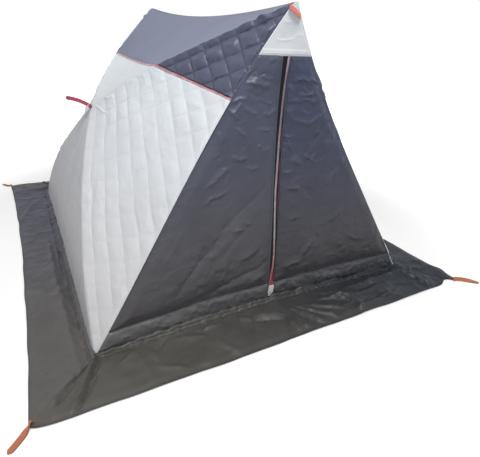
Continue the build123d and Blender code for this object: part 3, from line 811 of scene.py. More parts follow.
WHITE_KINK, DARK_KINK = kink_share(-HALF_PIPING), kink_share(HALF_PIPING)
(FRONT_WHITE_TOP, FRONT_DARK_FOOT), (ROOF_WHITE_TOP, ROOF_DARK_FOOT) = [
    [seam_at(grid, normal, k * HALF_PIPING) for k in (-1, 1)]
    for grid, normal in ((FRONT_FACET, FRONT_SEAM_NORMAL), (ROOF_FACET, ROOF_SEAM_NORMAL))]
UPWARD_ROW = RIDGE_END - HUB_POINT       # the quilting's rows run from the hub to the ridge's end
DOWNWARD_COLUMN = HUB_POINT - BASE_CORNER
WHITE_KNOT = np.array([-0.6256, -0.5914, 0.8044])    # a crossing of the quilting's stitch lines
DARK_KNOT = np.array([-0.2310, -0.8224, 1.2883])

# of each pair of ends: end, word, step of the seed, mesh steps of white and dark, roughness of dark
ENDS = ((-1, "front", 10, PANEL_STEP, MESH_STEP, 0.0030), (1, "rear", 50, PLAIN_STEP, PLAIN_STEP, 0.0015))
DARK_PUFFS = {"left_front": 0.014, "right_front": 0.009, "left_rear": 0.006, "right_rear": 0.006}
QUIET_PEAK = 0.85            # share of its relief that the right side loses beside the peak patch
HUB_FOLDS = in_metres([
    (-310, 459, -169, 307, 10, 5, 0, 0), (-235, 472, -88, 395, 10, 4, 0, 0),
])
PEAK_FOLDS = in_metres([
    (190, 58, 225, 68, 8, 3, 0, 0), (220, 88, 300, 92, 8, 7, 0, 0), (240, 10, 270, 22, 8, 8, 0, 0),
    (210, 120, 270, 100, 8, 7, 0, 0), (130, -30, 240, 0, 12, 6, 0, 0),
])


def side_wall(side, word):
    """The four facets of one side wall, each with its white or dark cloth."""
    first = 100 if side < 0 else 300
    lower = part_of(LOWER_FACET, (0, 1), at(0.0), at(1.0), PLAIN_STEP)
    quilted(word + "_lower_panel", lower, in_cloth(lower, BASE_CORNER, Y_AXIS, DOWNWARD_COLUMN * FLATTENED),
            PAINTED_SHADE_LOWER_QUILT, "white_quilt", first, side, height=0.0040, cell=WHITE_CELL, crispness=0.6,
            row_share=0.8)
    for end, end_word, seed_step, white_step, dark_step, dark_rough in ENDS:
        seed = first + seed_step
        name = word + "_" + end_word
        white = part_of(FRONT_FACET, (0, WHITE_KINK, 1), at(0.0), FRONT_WHITE_TOP, white_step)
        dark = part_of(FRONT_FACET, (DARK_KINK, 1), FRONT_DARK_FOOT, at(1.0), dark_step)
        beside_patch = smooth((dark[..., 2] - PATCH_FOOT + 0.08) / 0.06)
        quilted(name + "_white_panel", white, in_cloth(white, WHITE_KNOT, UPWARD_ROW, DOWNWARD_COLUMN),
                WHITE_QUILT, "white_quilt", seed, side, end, height=0.0080, cell=WHITE_CELL,
                crispness=0.6, folds=HUB_FOLDS, row_share=0.75)
        quilted(name + "_dark_panel", dark, in_cloth(dark, DARK_KNOT, UPWARD_ROW, DOWNWARD_COLUMN),
                DARK_QUILT, "dark_quilt", seed + 10, side, end, height=DARK_PUFFS[name],
                cell=DARK_CELL, crispness=0.62, rough=dark_rough, folds=PEAK_FOLDS if side < 0 else (),
                margin=0.010, calm=1 - (QUIET_PEAK if side > 0 else 0.0) * beside_patch)
    white = part_of(ROOF_FACET, (0, 1), at(0.0), ROOF_WHITE_TOP, PLAIN_STEP)
    dark = part_of(ROOF_FACET, (0, 1), ROOF_DARK_FOOT, at(1.0), PLAIN_STEP)
    white_cloth, dark_cloth = [in_cloth(points, SEAM_START, Y_AXIS, UPWARD_ROW * FLATTENED)
                               for points in (white, dark)]
    quilted(word + "_roof_white_panel", white, white_cloth, WHITE_QUILT, "white_quilt", first + 30, side,
            height=0.0020, cell=WHITE_CELL, crispness=1.5, rough=0.0002, row_share=0.7)
    quilted(word + "_roof_dark_panel", dark, dark_cloth, PAINTED_SKY_ROOF_QUILT, "dark_quilt", first + 35, side,
            height=0.0, rough=0.0, pucker=0.0)


for side, word in SIDES:
    side_wall(side, word)


# ---------------------------------------------------------------- end walls
def half_width(v):
    """Half the end wall's width, which falls evenly from the base corner to the ridge's end."""
    return -(BASE_CORNER[0] + (RIDGE_END[0] - BASE_CORNER[0]) * v)


def wall_points(x_left, x_right, z_low, z_high, step=MESH_STEP):
    """Grid on the end wall between two lines of x, each given as a function of the height share,
    and two heights. On this patch z is the height share times the ridge's height."""
    low, high = z_low / RIDGE_HEIGHT, z_high / RIDGE_HEIGHT

    def points_at(s, v):
        left, right = x_left(v), x_right(v)
        return on_patch(END_WALL, 0.5 + (left + (right - left) * s) / (2 * half_width(v)), v + 0 * s)
    rows, columns = counts(points_at, (0, 1), (low, high), step, LINING_STEP)
    return points_at(np.linspace(0, 1, rows)[:, None], np.linspace(low, high, columns)[None, :])


def edge_left(v):
    """The limit of x at an end wall's left edge."""
    return -half_width(v)


def edge_right(v):
    """The limit of x at its right edge."""
    return half_width(v)


def wall_cloth(points):
    """On an end wall the cloth coordinates are x and the height."""
    return points[..., [0, 2]]


LEFT_LEAF = wall_points(edge_left, at(-HALF_ZIP), HEM_HEIGHT, PATCH_FOOT)
RIGHT_LEAF = wall_points(at(HALF_ZIP), edge_right, HEM_HEIGHT, PATCH_FOOT)
BACK_LEAF = wall_points(edge_left, edge_right, HEM_HEIGHT, RIDGE_HEIGHT, PLAIN_STEP)

# folds and tucks of the front wall, by x and height
LEFT_FOLDS = in_metres([
    (-209, 1202, -74, 1190, 11, 7.5, 0.4, 0), (-272, 1239, -174, 1257, 10, 5, 0.4, 0),
    (-270, 1130, -200, 1129, 9, 5, 0.4, 0), (-204, 1094, -128, 1061, 9, 5, 0.4, -12),
    (-284, 1096, -228, 1046, 9, 5, 0.3, 0), (-263, 1007, -188, 962, 9, 5, 0.3, 0),
    (-135, 992, -50, 987, 8, 4, 0.4, 0), (-267, 873, -186, 862, 10, 6, 0.4, -10),
    (-190, 813, -116, 806, 10, 5, 0.4, 0), (-415, 736, -267, 835, 11, 6, 0.3, 0),
    (-418, 659, -295, 716, 10, 5, 0.3, 0), (-105, 1046, -30, 1090, 9, 5, 0.3, 0),
    (-219, 310, -79, 410, 25, 6, 0.3, 0), (-268, 493, -180, 493, 10, 5, 0.4, 0),
    (-199, 535, -144, 514, 9, 4, 0.4, 0), (-54, 207, -168, 159, 18, 5, 0, 0),
    (-620, 420, -520, 560, 16, 4, 0.2, 0), (-330, 1000, -300, 900, 12, 4, 0, 0),
])
LEFT_TUCKS = in_metres([
    (-77, 704, -557, 237, 50, 20, -0.55, -17), (-45, 269, -448, 160, 34, 13, -0.45, 10),
    (-100, 560, -420, 270, 30, 8, -0.4, -10),
])
RIGHT_FOLDS = in_metres([
    (41, 1211, 167, 1225, 10, 6, 0.4, 0), (85, 1152, 192, 1154, 9, 5, 0.4, 0),
    (48, 1120, 196, 1126, 9, 5, 0.4, 0), (58, 1030, 261, 1055, 11, 6, 0.4, -30),
    (30, 943, 79, 874, 10, 6, 0, 0), (70, 829, 142, 812, 22, 8, 0.3, 0),
    (48, 677, 146, 670, 10, 6, 0.4, 0), (144, 853, 221, 815, 11, 6, 0.3, 0),
    (279, 853, 356, 974, 13, 8, 0.3, 0), (311, 673, 410, 769, 12, 7, 0.3, 0),
    (410, 769, 426, 823, 10, 5, 0, 0), (65, 501, 164, 532, 11, 5, 0.3, 0),
    (189, 261, 266, 343, 12, 6, 0.3, 0), (53, 219, 192, 234, 22, 7, 0.3, 0),
    (330, 440, 470, 520, 16, 6, 0.3, 0), (500, 330, 620, 300, 16, 5, 0.3, 0),
])
RIGHT_TUCKS = in_metres([
    (213, 895, 281, 1009, 20, 9, 0.3, 0), (152, 681, 242, 590, 26, 8, 0.3, 0),
    (230, 430, 420, 250, 26, 6, 0.3, 0),
])


def small_creases(number, centre, reach, tilt, seed, height):
    """Short folds scattered about a centre on the wall: random places within reach, 30 to 100 mm
    long, within 40 degrees of tilt, 4 to 8 mm wide and up to height high, two in five of them sunk."""
    draw = np.random.default_rng(seed)
    creases = []
    for _ in range(number):
        middle = np.array(centre) + draw.uniform(-1, 1, 2) * np.array(reach)
        angle = math.radians(tilt + draw.uniform(-40, 40))
        half = draw.uniform(0.015, 0.050) * np.array([math.cos(angle), math.sin(angle)])
        up = height * draw.uniform(0.4, 1.0) * (1 if draw.uniform() < 0.6 else -0.8)
        width = draw.uniform(0.004, 0.008)
        creases.append([*(middle - half), *(middle + half), width, up, 0.0, draw.uniform(-0.008, 0.008)])
    return creases


LEFT_CREASES = np.concatenate([
    small_creases(18, (-0.19, 1.16), (0.11, 0.08), 10, 710, 0.0060),
    small_creases(16, (-0.21, 0.95), (0.14, 0.12), 15, 711, 0.0050),
    small_creases(9, (-0.25, 0.70), (0.17, 0.10), 35, 712, 0.0032),
    small_creases(12, (-0.16, 0.42), (0.12, 0.14), 50, 713, 0.0016)])
RIGHT_CREASES = np.concatenate([
    small_creases(14, (0.12, 1.14), (0.08, 0.09), 5, 714, 0.0060),
    small_creases(14, (0.26, 0.93), (0.08, 0.13), 60, 715, 0.0060),
    small_creases(10, (0.18, 0.72), (0.12, 0.14), 30, 716, 0.0035),
    small_creases(10, (0.30, 0.42), (0.20, 0.16), 50, 717, 0.0016)])
LEAF_SINK = 0.0045           # how far the left leaf sinks beside the zip
SINK_PLACE, SINK_WIDTH = 0.009, 0.008
LEAF_BULGE, BULGE_REACH = 0.012, 0.07
LEAF_PUFFS = 0.0022
FRONT_GAINS = np.array([1, 1, 1, 1, 1, 1.5, 0.25, 1])    # the front's folds are higher and lean less


def bulged(points):
    """Bulge of a leaf: its height times smooth(distance from its edges / reach)."""
    return LEAF_BULGE * smooth(seam_distance(points) / BULGE_REACH)


def leaf_swell(points):
    """Bulge of a front leaf away from its edges, and on the left a sunk strip along the zip: less
    sink times exp(-((distance - place) / width)^2)."""
    from_zip = np.abs(points[..., 0]) - HALF_ZIP
    strip = np.exp(-((from_zip - SINK_PLACE) / SINK_WIDTH) ** 2) * (points[..., 0] < 0)
    return bulged(points) - LEAF_SINK * strip * smooth(from_zip / 0.003)


for name, leaf, folds, creases, tucks, material, seed in (
        ("front_wall_left", LEFT_LEAF, LEFT_FOLDS, LEFT_CREASES, LEFT_TUCKS, WALL_QUILT, 500),
        ("front_wall_right", RIGHT_LEAF, RIGHT_FOLDS, RIGHT_CREASES, RIGHT_TUCKS, PAINTED_SHADE_RIGHT_WALL_QUILT, 520)):
    quilted(name, leaf, wall_cloth(leaf), material, "dark_quilt", seed, height=LEAF_PUFFS,
            rough=0.0025 + 0.0085 * smooth((leaf[..., 2] - 0.60) / 0.4), wide=0.008,
            folds=np.concatenate([folds * FRONT_GAINS, creases]), tucks=tucks, margin=0.010,
            more=leaf_swell(leaf), fine=1.2)
quilted("back_wall", BACK_LEAF, wall_cloth(BACK_LEAF), WALL_QUILT, "dark_quilt", 540, end=1,
        height=LEAF_PUFFS, rough=0.0030, wide=0.006, more=bulged(BACK_LEAF),
        folds=np.concatenate([LEFT_FOLDS[9:], RIGHT_FOLDS[:6]]),
        tucks=np.concatenate([LEFT_TUCKS, RIGHT_TUCKS[:2]]))

HEM_FOOT = 0.024             # below this height the skirt's root covers the hem
HEM_BULGE = 0.013
HEM_STEP = 0.0060
HEM_SIZE = 0.10              # the bulge's height varies over this length
GATHER_HEIGHT = 0.0045
GATHER_SIZES = (0.030, 0.014)
GATHER_REACH = (0.22, 0.18)  # gathers fade over these shares of the height from the lower and upper seam
CRUMPLE_SIZES = (0.055, 0.028)
CRUMPLE_HEIGHTS = (0.0055, 0.0025)


def gathered(points, seed):
    """Relief of a gathered hem: a bulge between the skirt's root and the upper seam, cut by upright
    gathers that are strongest at both and stronger to the right, with crumples between."""
    x, z = points[..., 0], points[..., 2]
    t = np.clip((z - HEM_FOOT) / (HEM_HEIGHT - HEM_FOOT), 0, 1)
    arch = np.sin(np.pi * t) ** 0.6
    lean = x + 0.25 * z
    stronger = 1 + 0.8 * smooth(0.5 + x / 0.3)
    gathers = (drift(lean, z, GATHER_SIZES[0], seed) * 0.6
               + drift(lean, z * 0.5, GATHER_SIZES[1], seed + 1) * 0.4)
    at_seams = np.exp(-t / GATHER_REACH[0]) + np.exp(-(1 - t) / GATHER_REACH[1])
    crumples = (CRUMPLE_HEIGHTS[0] * crumple(lean, z, CRUMPLE_SIZES[0], seed + 3)
                + CRUMPLE_HEIGHTS[1] * drift(lean, z, CRUMPLE_SIZES[1], seed + 4))
    relief = arch * (HEM_BULGE * (0.65 + 0.5 * drift(x, z, HEM_SIZE, seed + 2)) + crumples)
    relief += GATHER_HEIGHT * stronger * gathers * at_seams
    from_seam = seam_distance(points)
    return relief * smooth(from_seam / 0.010) * smooth((z - HEM_FOOT + 0.010) / 0.016), from_seam


def hem(name, spans, end, seed):
    """The hem band of one end wall, one stretch for each span of x."""
    meshes = []
    for k, (x_left, x_right) in enumerate(spans):
        points = wall_points(x_left, x_right, 0.0, HEM_HEIGHT, HEM_STEP)
        relief, from_seam = gathered(points, seed + 10 * k)
        mesh, size, part_area = lined(name, placed(points, -1, end), relief, wall_cloth(points), from_seam)
        meshes.append(mesh)
    piece = fit(joined(meshes), name, HEM_CLOTH)


def joined(pieces):
    """One piece out of several."""
    if len(pieces) > 1:
        with bpy.context.temp_override(active_object=pieces[0], selected_editable_objects=pieces,
                                       object=pieces[0], selected_objects=pieces):
            bpy.ops.object.join()
    return pieces[0]


hem("front_hem_band", [(edge_left, at(-HALF_ZIP)), (at(HALF_ZIP), edge_right)], -1, 600)
hem("back_hem_band", [(edge_left, edge_right)], 1, 640)

PATCH_HEM = 0.025
PATCH_STEP = 0.004
PATCH_PUFF, HEM_PLY = 0.0022, 0.0016     # the cloth's rise from its seams, and its folded hem's
PATCH_CREASE = 0.0020


def peak_patch():
    """Plain coated cloth with a folded hem along its foot, and slow creases away from its edges."""
    points = wall_points(edge_left, edge_right, PATCH_FOOT, RIDGE_HEIGHT, PATCH_STEP)
    x, z = points[..., 0], points[..., 2]
    from_seam = seam_distance(points)
    in_hem = smooth((PATCH_HEM - z + PATCH_FOOT) / 0.004 + 0.5)
    relief = PATCH_PUFF * smooth(from_seam / 0.006) + HEM_PLY * in_hem
    relief += PATCH_CREASE * (crumple(x, z, 0.07, 660) + drift(x, z, 0.09, 661)) * smooth(from_seam / 0.02)
    stretched("front_peak_patch", points, relief, wall_cloth(points), from_seam, PATCH_CLOTH)


peak_patch()


# ---------------------------------------------------------------- bands, beads and straps
def tangents(path):
    """Unit tangents of a path by central differences."""
    step = np.gradient(path, axis=0)
    return step / np.linalg.norm(step, axis=1, keepdims=True)


def swept(name, path, outline, wide, tall):
    """Closed bar of any outline carried along a path: each outline point (p, q) lies at the path's
    point plus p times the wide direction plus q times the tall direction there."""
    rows, columns = len(path), len(outline)
    points = path[:, None] + outline[None, :, :1] * wide[:, None] + outline[None, :, 1:] * tall[:, None]
    index = np.arange(rows * columns).reshape(rows, columns)
    turned = np.roll(index, -1, axis=1)
    faces = np.stack([index[:-1], turned[:-1], turned[1:], index[1:]], -1).reshape(-1, 4).tolist()
    faces += [index[0, ::-1].tolist(), index[-1].tolist()]
    run = np.insert(np.cumsum(np.linalg.norm(np.diff(path, axis=0), axis=1)), 0, 0.0)
    flat = np.stack([np.broadcast_to(run[:, None], (rows, columns)),
                     np.broadcast_to(outline[:, 0], (rows, columns))], -1).reshape(-1, 2)
    half = np.abs(outline[:, 0]).max()
    edge = np.broadcast_to(half - np.abs(outline[:, 0]), (rows, columns)).reshape(-1)
    return mesh_piece(name, points.reshape(-1, 3), faces, flat, edge, sharp=60, outwards=True)


def round_outline(half_wide, half_tall, power, number=20):
    """Closed oval: cosine and sine, each to 2/power, so that a higher power is nearer a box."""
    angle = np.linspace(0, 2 * np.pi, number, endpoint=False)
    def shaped(x):
        return np.sign(x) * np.abs(x) ** (2 / power)
    return np.stack([half_wide * shaped(np.cos(angle)), half_tall * shaped(np.sin(angle))], -1)


def normals_along(grid, u, v):
    """Unit normals of a patch at shares (u, v), by small steps in both, turned outwards."""
    small = 1e-3
    across = on_patch(grid, np.minimum(u + small, 1), v) - on_patch(grid, np.maximum(u - small, 0), v)
    upward = on_patch(grid, u, np.minimum(v + small, 1)) - on_patch(grid, u, np.maximum(v - small, 0))
    normal = np.cross(across, upward)
    normal /= np.linalg.norm(normal, axis=1, keepdims=True)
    inside = (normal * (on_patch(grid, u, v) / HALF_SIZE)).sum() < 0
    return -normal if inside else normal


PIPING_OUTLINE = round_outline(0.0066, 0.0042, 2.4)
PIPING_LIFT = 0.0012


def bead(name, path, normal):
    """Piping along a path on a surface: an oval carried along the path plus the normals times the
    lift, with its broad side across both normal and tangent."""
    wide = np.cross(normal, tangents(path))
    wide /= np.linalg.norm(wide, axis=1, keepdims=True)
    if wide[:, 2].sum() < 0:
        wide = -wide
    return swept(name, path + normal * PIPING_LIFT, PIPING_OUTLINE, wide, normal)


def piping(name, spans):
    """Piping of one node: a bead on each given stretch of a patch."""
    beads = []
    for grid, u, v, side, end in spans:
        path, normal = on_patch(grid, u, v), normals_along(grid, u, v)
        beads.append(bead(name, placed(path, side, end), placed(normal, side, end)))
    fit(joined(beads), name, PIPING)


u_front = np.linspace(kink_share(0.0), 1, 90)
v_front = seam_share(FRONT_FACET, u_front, FRONT_SEAM_NORMAL, 0.0)
u_roof = np.linspace(0, 1, 150)
v_roof = seam_share(ROOF_FACET, u_roof, ROOF_SEAM_NORMAL, 0.0)
for side, word in SIDES:
    piping(word + "_end_piping", [(FRONT_FACET, u_front, v_front, side, end) for end in (-1, 1)])
    piping(word + "_roof_piping", [(ROOF_FACET, u_roof, v_roof, side, -1)])


def ridge_binding():
    """Flat binding along the ridge's sagging line, a little wider than the gap between the roofs."""
    half_wide, half_tall, proud = 0.001 - RIDGE_END[0], WALL_THICKNESS / 2, 0.0015
    path = on_curve(RIDGE_LINE, np.linspace(0, 1, 260)) * np.array([0.0, 1.0, 1.0])
    wide = np.broadcast_to(X_AXIS, path.shape)
    tall = np.cross(wide, tangents(path))
    return swept("ridge_binding", path - tall * (half_tall - proud),
                 round_outline(half_wide, half_tall, 5.0, 28), wide, tall)


fit(ridge_binding(), "ridge_binding", BINDING_CLOTH)


# ---------------------------------------------------------------- zip
COIL_LINE = np.array([       # height, and how far aside the coil wanders there
    (0.000, -0.008), (0.113, -0.008), (0.168, -0.006), (0.232, 0.001), (0.302, 0.002),
    (0.395, -0.001), (0.541, -0.006), (0.663, -0.008), (0.810, -0.004), (0.886, -0.002),
    (0.955, -0.001), (1.056, 0.002), (1.126, 0.003), (1.203, 0.006), (1.315, 0.010),
])
COIL_OUTLINE = round_outline(0.0058, 0.0026, 2.4, 16)
COIL_LIFT = 0.0030
COIL_RIB = 0.10              # the coil's outline grows and shrinks by this share at each turn
TURN_STATIONS = 4
TAPE_STEP = 0.0028
TAPE_PUFF, TAPE_ROUND = 0.0012, 0.003    # the tape's rise, and the distance over which its edge rounds


def wall_line(z):
    """Points on the front wall's middle line at heights z, and the wall's outward normals there."""
    v = z / RIDGE_HEIGHT
    middle = np.full_like(v, 0.5)
    return on_patch(END_WALL, middle, v), normals_along(END_WALL, middle, v)


def zip_tape():
    """Both halves of the tape as one sheet: it rises by its puff times smooth(distance from its
    edge / round)."""
    points = wall_points(at(-HALF_ZIP), at(HALF_ZIP), 0.0, PATCH_FOOT, TAPE_STEP)
    from_seam = seam_distance(points)
    stretched("front_zip_tape", points, TAPE_PUFF * smooth(from_seam / TAPE_ROUND), wall_cloth(points),
              from_seam, ZIP_TAPE)


def zip_coil():
    """The closed coil: an oval carried up the wall's middle line, its size times 1 + rib times the
    cosine of a quarter turn for each station, so once round for each turn of the coil."""
    low, high = [corner[2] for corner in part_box("front_zip_coil")]
    z = np.linspace(low, high, int((high - low) / COIL_PITCH) * TURN_STATIONS + 1)
    path, normal = wall_line(z)
    path = path + X_AXIS * np.interp(z, *COIL_LINE.T)[:, None]
    rib = 1 + COIL_RIB * np.cos(np.arange(len(z)) * 2 * np.pi / TURN_STATIONS)[:, None]
    return swept("front_zip_coil", path + normal * COIL_LIFT, COIL_OUTLINE, X_AXIS * rib, normal * rib)


zip_tape()
fit(zip_coil(), "front_zip_coil", COIL_PLASTIC)


# ---------------------------------------------------------------- skirt
SKIRT_LOW = np.array(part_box("left_skirt")[0])
FRONT_EDGE_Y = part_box("front_skirt")[0][1]
SKIRT_HOLLOW = 0.034
SKIRT_CLOTH_THICKNESS = 0.0022
SKIRT_GAP = 0.0006
SKIRT_SEAM = 0.028           # a seam runs along the skirt this far from the wall
SKIRT_CORNERS = {(-1, -1): np.array([SKIRT_LOW[0], FRONT_EDGE_Y + 0.028, 0.0]),
                 (1, -1): np.array([-SKIRT_LOW[0] - 0.014, FRONT_EDGE_Y - 0.008, 0.0]),
                 (-1, 1): np.array([SKIRT_LOW[0], -FRONT_EDGE_Y - 0.012, 0.0]),
                 (1, 1): np.array([-SKIRT_LOW[0], -FRONT_EDGE_Y - 0.004, 0.0])}
LAP = 0.0015                 # share of a side strip's length that lies under the front and back
LAP_RISE = 0.0008            # how far the front and back are raised where they lie on the sides
SKIRT_STEP = 0.012           # mesh step of the back and the right strip
SKIRT_WAVER = 0.006
FOLD_GAIN, TUCK_GAIN = 1.3, 1.7
SKIRT_REST = 0.008           # mean height of the skirt's underside
SKIRT_SWELL, SKIRT_SWELL_SIZE = 0.006, 0.24
SOFT_CREASE_SIZES = (0.17, 0.085, 0.045)
RUFFLE_SIZES = (0.045, 0.019)
CLIMB_REACH = 0.035          # the root climbs the wall's foot over this distance
ROLL_PLACE, ROLL_WIDTH = 0.011, 0.008
DIP_PLACE, DIP_WIDTH = 0.034, 0.010
MITRE_SEAM, MITRE_WIDTH = 0.0015, 0.004
ROLLED_HEM, ROLLED_WIDTH = 0.0012, 0.014
LOWEST = 0.0003
HALF_TURN = np.array([-1, -1, -1, -1, 1, 1, 1, 1])       # turns a fold about the hut's middle

# folds and tucks of the skirt, by x and y
FRONT_FOLDS = in_metres([
    (-990, -1085, -1142, -1372, 13, 21, -0.5, 13), (-643, -1142, -461, -1186, 17, 10, -0.3, 0),
    (-502, -1126, -360, -1131, 14, 8, -0.3, 0), (-763, -1168, -733, -1260, 10, 6, 0.3, 0),
    (-904, -1200, -828, -1138, 11, 6, -0.3, 0), (-760, -1267, -623, -1358, 14, 7, -0.3, 0),
    (-259, -1123, -180, -1196, 18, 12, -0.3, 0), (-178, -1160, -6, -1220, 34, 9, -0.2, 12),
    (-196, -1179, -203, -1255, 9, 6, 0.3, 0), (0, -1241, -2, -1364, 11, 8, 0.4, 0),
    (35, -1200, 52, -1381, 13, 11, 0.4, 0), (61, -1182, 178, -1395, 15, 14, 0.4, 0),
    (88, -1164, 289, -1391, 15, 14, 0.4, 0), (131, -1184, 357, -1316, 15, 12, 0.4, 0),
    (333, -1135, 438, -1402, 26, 22, 0.4, 55), (265, -1182, 427, -1211, 16, 11, 0.3, 0),
    (503, -1153, 1141, -1189, 30, 22, -0.3, 0), (439, -1353, 817, -1315, 22, 14, -0.3, 0),
    (607, -1222, 850, -1246, 14, 9, -0.3, 0), (976, -1159, 1001, -1396, 24, 16, 0.3, 35),
    (831, -1262, 1039, -1328, 16, 10, -0.3, 0), (-430, -1230, -360, -1380, 16, 7, 0.3, 0),
])
FRONT_TUCKS = in_metres([
    (-971, -1085, -1120, -1378, 7, 12, 0, 14), (-1011, -1109, -654, -1097, 12, 6, 0, -10),
    (-645, -1101, -729, -1185, 9, 7, 0, 7), (-451, -1072, -454, -1197, 9, 8, 0, -9),
    (-205, -1184, -15, -1253, 11, 8, 0, 0), (30, -1180, -71, -1407, 10, 8, 0, -18),
    (481, -1178, 813, -1278, 16, 10, 0, -108), (-1020, -1120, -1205, -1330, 6, 10, 0, 0),
])
SIDE_FOLDS = in_metres([
    (-1196, -1100, -1248, -1149, 11, 5, 0, 0), (-1215, -1223, -1257, -1298, 11, 6, 0, 0),
    (-1012, -344, -1030, -1047, 13, 9, 0, -3), (-1024, 394, -1054, -258, 16, 8, 0.4, 0),
    (-1082, 120, -1068, -1120, 24, 15, 0, -12), (-1045, -1118, -1225, -1318, 12, 8, 0, 0),
    (-1024, 1058, -1233, 570, 22, 10, 0.3, -15),
])
SIDE_TUCKS = in_metres([
    (-1034, 300, -1036, -1120, 18, 10, 0, -3),
])


def all_round(*tables):
    """The given folds and the same ones turned by half a turn about the hut's middle."""
    lines = np.concatenate(tables)
    return np.concatenate([lines, lines * HALF_TURN])


SKIRT_FOLDS = all_round(FRONT_FOLDS, SIDE_FOLDS)
SKIRT_TUCKS = all_round(FRONT_TUCKS, SIDE_TUCKS)


def skirt_lift(x, y, run, root, to_edge, from_mitre, lap_rise):
    """Height of the skirt's underside: its rest plus a slow swell and soft creases, livelier to the
    right, the long folds and tucks, a seam of exp(-(distance from a mitre / width)^2), a rolled hem
    along the free edge, and along the wall a climb of exp(-(r / reach)^2), a roll and less a dip of
    exp(-((r - place) / width)^2), r the distance from the wall, all three uneven along the run."""
    lively = smooth(0.5 + x / 1.0)
    lift = SKIRT_REST + SKIRT_SWELL * drift(x, y, SKIRT_SWELL_SIZE, 700) * (0.8 + 0.6 * lively)
    lift += (0.0055 + 0.004 * lively) * crumple(x, y, SOFT_CREASE_SIZES[0], 701, 4.0)
    lift += (0.002 + 0.002 * lively) * crumple(x, y, SOFT_CREASE_SIZES[1], 702)
    lift += 0.0014 * drift(x, y, SOFT_CREASE_SIZES[2], 703)
    bent = warped(x, y, SKIRT_WAVER)
    lift += FOLD_GAIN * folded(*bent, SKIRT_FOLDS, ()) + TUCK_GAIN * folded(*bent, (), SKIRT_TUCKS)
    uneven = smooth(from_mitre / 0.05)
    ruffle = (drift(run, root * 0.4, RUFFLE_SIZES[0], 704) * 0.7
              + drift(run, root * 0.4, RUFFLE_SIZES[1], 705) * 0.3)
    climb = np.exp(-(root / CLIMB_REACH) ** 2)
    roll = np.exp(-((root - ROLL_PLACE) / ROLL_WIDTH) ** 2)
    dip = np.exp(-((root - DIP_PLACE) / DIP_WIDTH) ** 2)
    lift += climb * (0.018 + 0.009 * ruffle * uneven) + roll * (0.004 + 0.008 * ruffle * uneven)
    lift -= dip * (0.003 + 0.009 * smooth(0.5 + 1.2 * drift(run, 0 * run, 0.020, 707))) * uneven
    lift += MITRE_SEAM * np.exp(-(from_mitre / MITRE_WIDTH) ** 2) + lap_rise * smooth(1 - from_mitre / 0.012)
    lift = lift * (0.35 + 0.65 * smooth(to_edge / 0.05))
    return lift + ROLLED_HEM * smooth((ROLLED_WIDTH - to_edge) / 0.003)


def skirt(name, inner, outer, span, step, root_slope, material, hem, lap_rise=0.0):
    """One strip of the skirt, straight from its inner to its outer line and sewn to one hem band; the
    argument hem, that band, is not used.
    All heights are functions of x and y, so that two strips meet at their mitre. At its root it
    leans over towards the wall by root_slope times its height."""
    def points_at(s, t):
        return inner(s) + (outer(s) - inner(s)) * t[..., None]
    rows, columns = counts(points_at, span, (0, 1), step, 1)
    points = points_at(np.linspace(*span, rows)[:, None], np.linspace(0, 1, columns)[None, :])
    x, y = points[..., 0], points[..., 1]
    run = x if np.ptp(x) > np.ptp(y) else y
    root = np.cumsum(np.insert(np.linalg.norm(np.diff(points, axis=1), axis=2), 0, 0.0, axis=1), axis=1)
    breadth = np.maximum(root[:, -1:], 1e-6)
    to_edge = root[:, -1:] - root
    from_mitre = np.minimum(np.abs(run - run[:1]), np.abs(run - run[-1:]))
    lift = skirt_lift(x, y, run, root, to_edge, from_mitre, lap_rise)
    out = (points[:, -1:] - points[:, :1]) / breadth[..., None]
    wander = 0.005 * drift(run, 0 * run, 0.14, 706) * (root / breadth) ** 2 * smooth(from_mitre / 0.1)
    wander -= root_slope * lift * np.exp(-root / 0.012)
    low = points + out * wander[..., None] + Z_AXIS * np.maximum(lift, LOWEST)[..., None]
    flat = points[..., :2]
    from_seam = np.minimum(to_edge, np.abs(root - SKIRT_SEAM) + 0.02 * smooth((root - 0.1) / 0.05))
    if grid_normals(low)[..., 2].mean() < 0:
        low, flat, from_seam = low[::-1], flat[::-1], from_seam[::-1]
    high = low + grid_normals(low) * SKIRT_CLOTH_THICKNESS
    piece = sheet_mesh(name, high, low, flat, from_seam, step=1)
    fit(piece, name, material)


CORNER_STEPS = ((0.021, 0.03), (0.007, 0.12))    # height and reach of the two steps beside a left corner
RIGHT_REACH = 0.03
NOTCH_DEPTH, NOTCH_PLACE, NOTCH_WIDTH = 0.034, 1.205, 0.05
SIDE_STEP, SIDE_STEP_PLACE, SIDE_STEP_WIDTH = 0.020, 0.052, 0.016      # the latter two as shares


def end_lines(end):
    """Inner and outer line of the front (-1) or back (1) strip. The outer line is straight, but
    beside its left corner it steps out by height times 1 - exp(-distance / reach), twice, and
    before its right one it is drawn in by depth times exp(-((x - place) / width)^2)."""
    turned = np.array([1.0, -end, 1.0])
    start, stop = SKIRT_CORNERS[-1, end], SKIRT_CORNERS[1, end]

    def inner(s):
        return (on_curve(FOOT_LINE, s) - Y_AXIS * SKIRT_GAP) * turned

    def outer(s):
        s = np.asarray(s)[..., None]
        x = start[0] + (stop[0] - start[0]) * s
        from_left, from_right = x - start[0], stop[0] - x
        y = abs(start[1]) + sum(step * (1 - np.exp(-from_left / reach)) for step, reach in CORNER_STEPS)
        stepped = sum(step for step, _ in CORNER_STEPS)
        y = y + (abs(stop[1]) - abs(start[1]) - stepped) * np.exp(-from_right / RIGHT_REACH)
        notch = NOTCH_DEPTH * np.exp(-((x - NOTCH_PLACE) / NOTCH_WIDTH) ** 2)
        y = y - notch * smooth(from_right / 0.04)
        return np.concatenate([x, end * y, 0 * x], axis=-1)
    return inner, outer


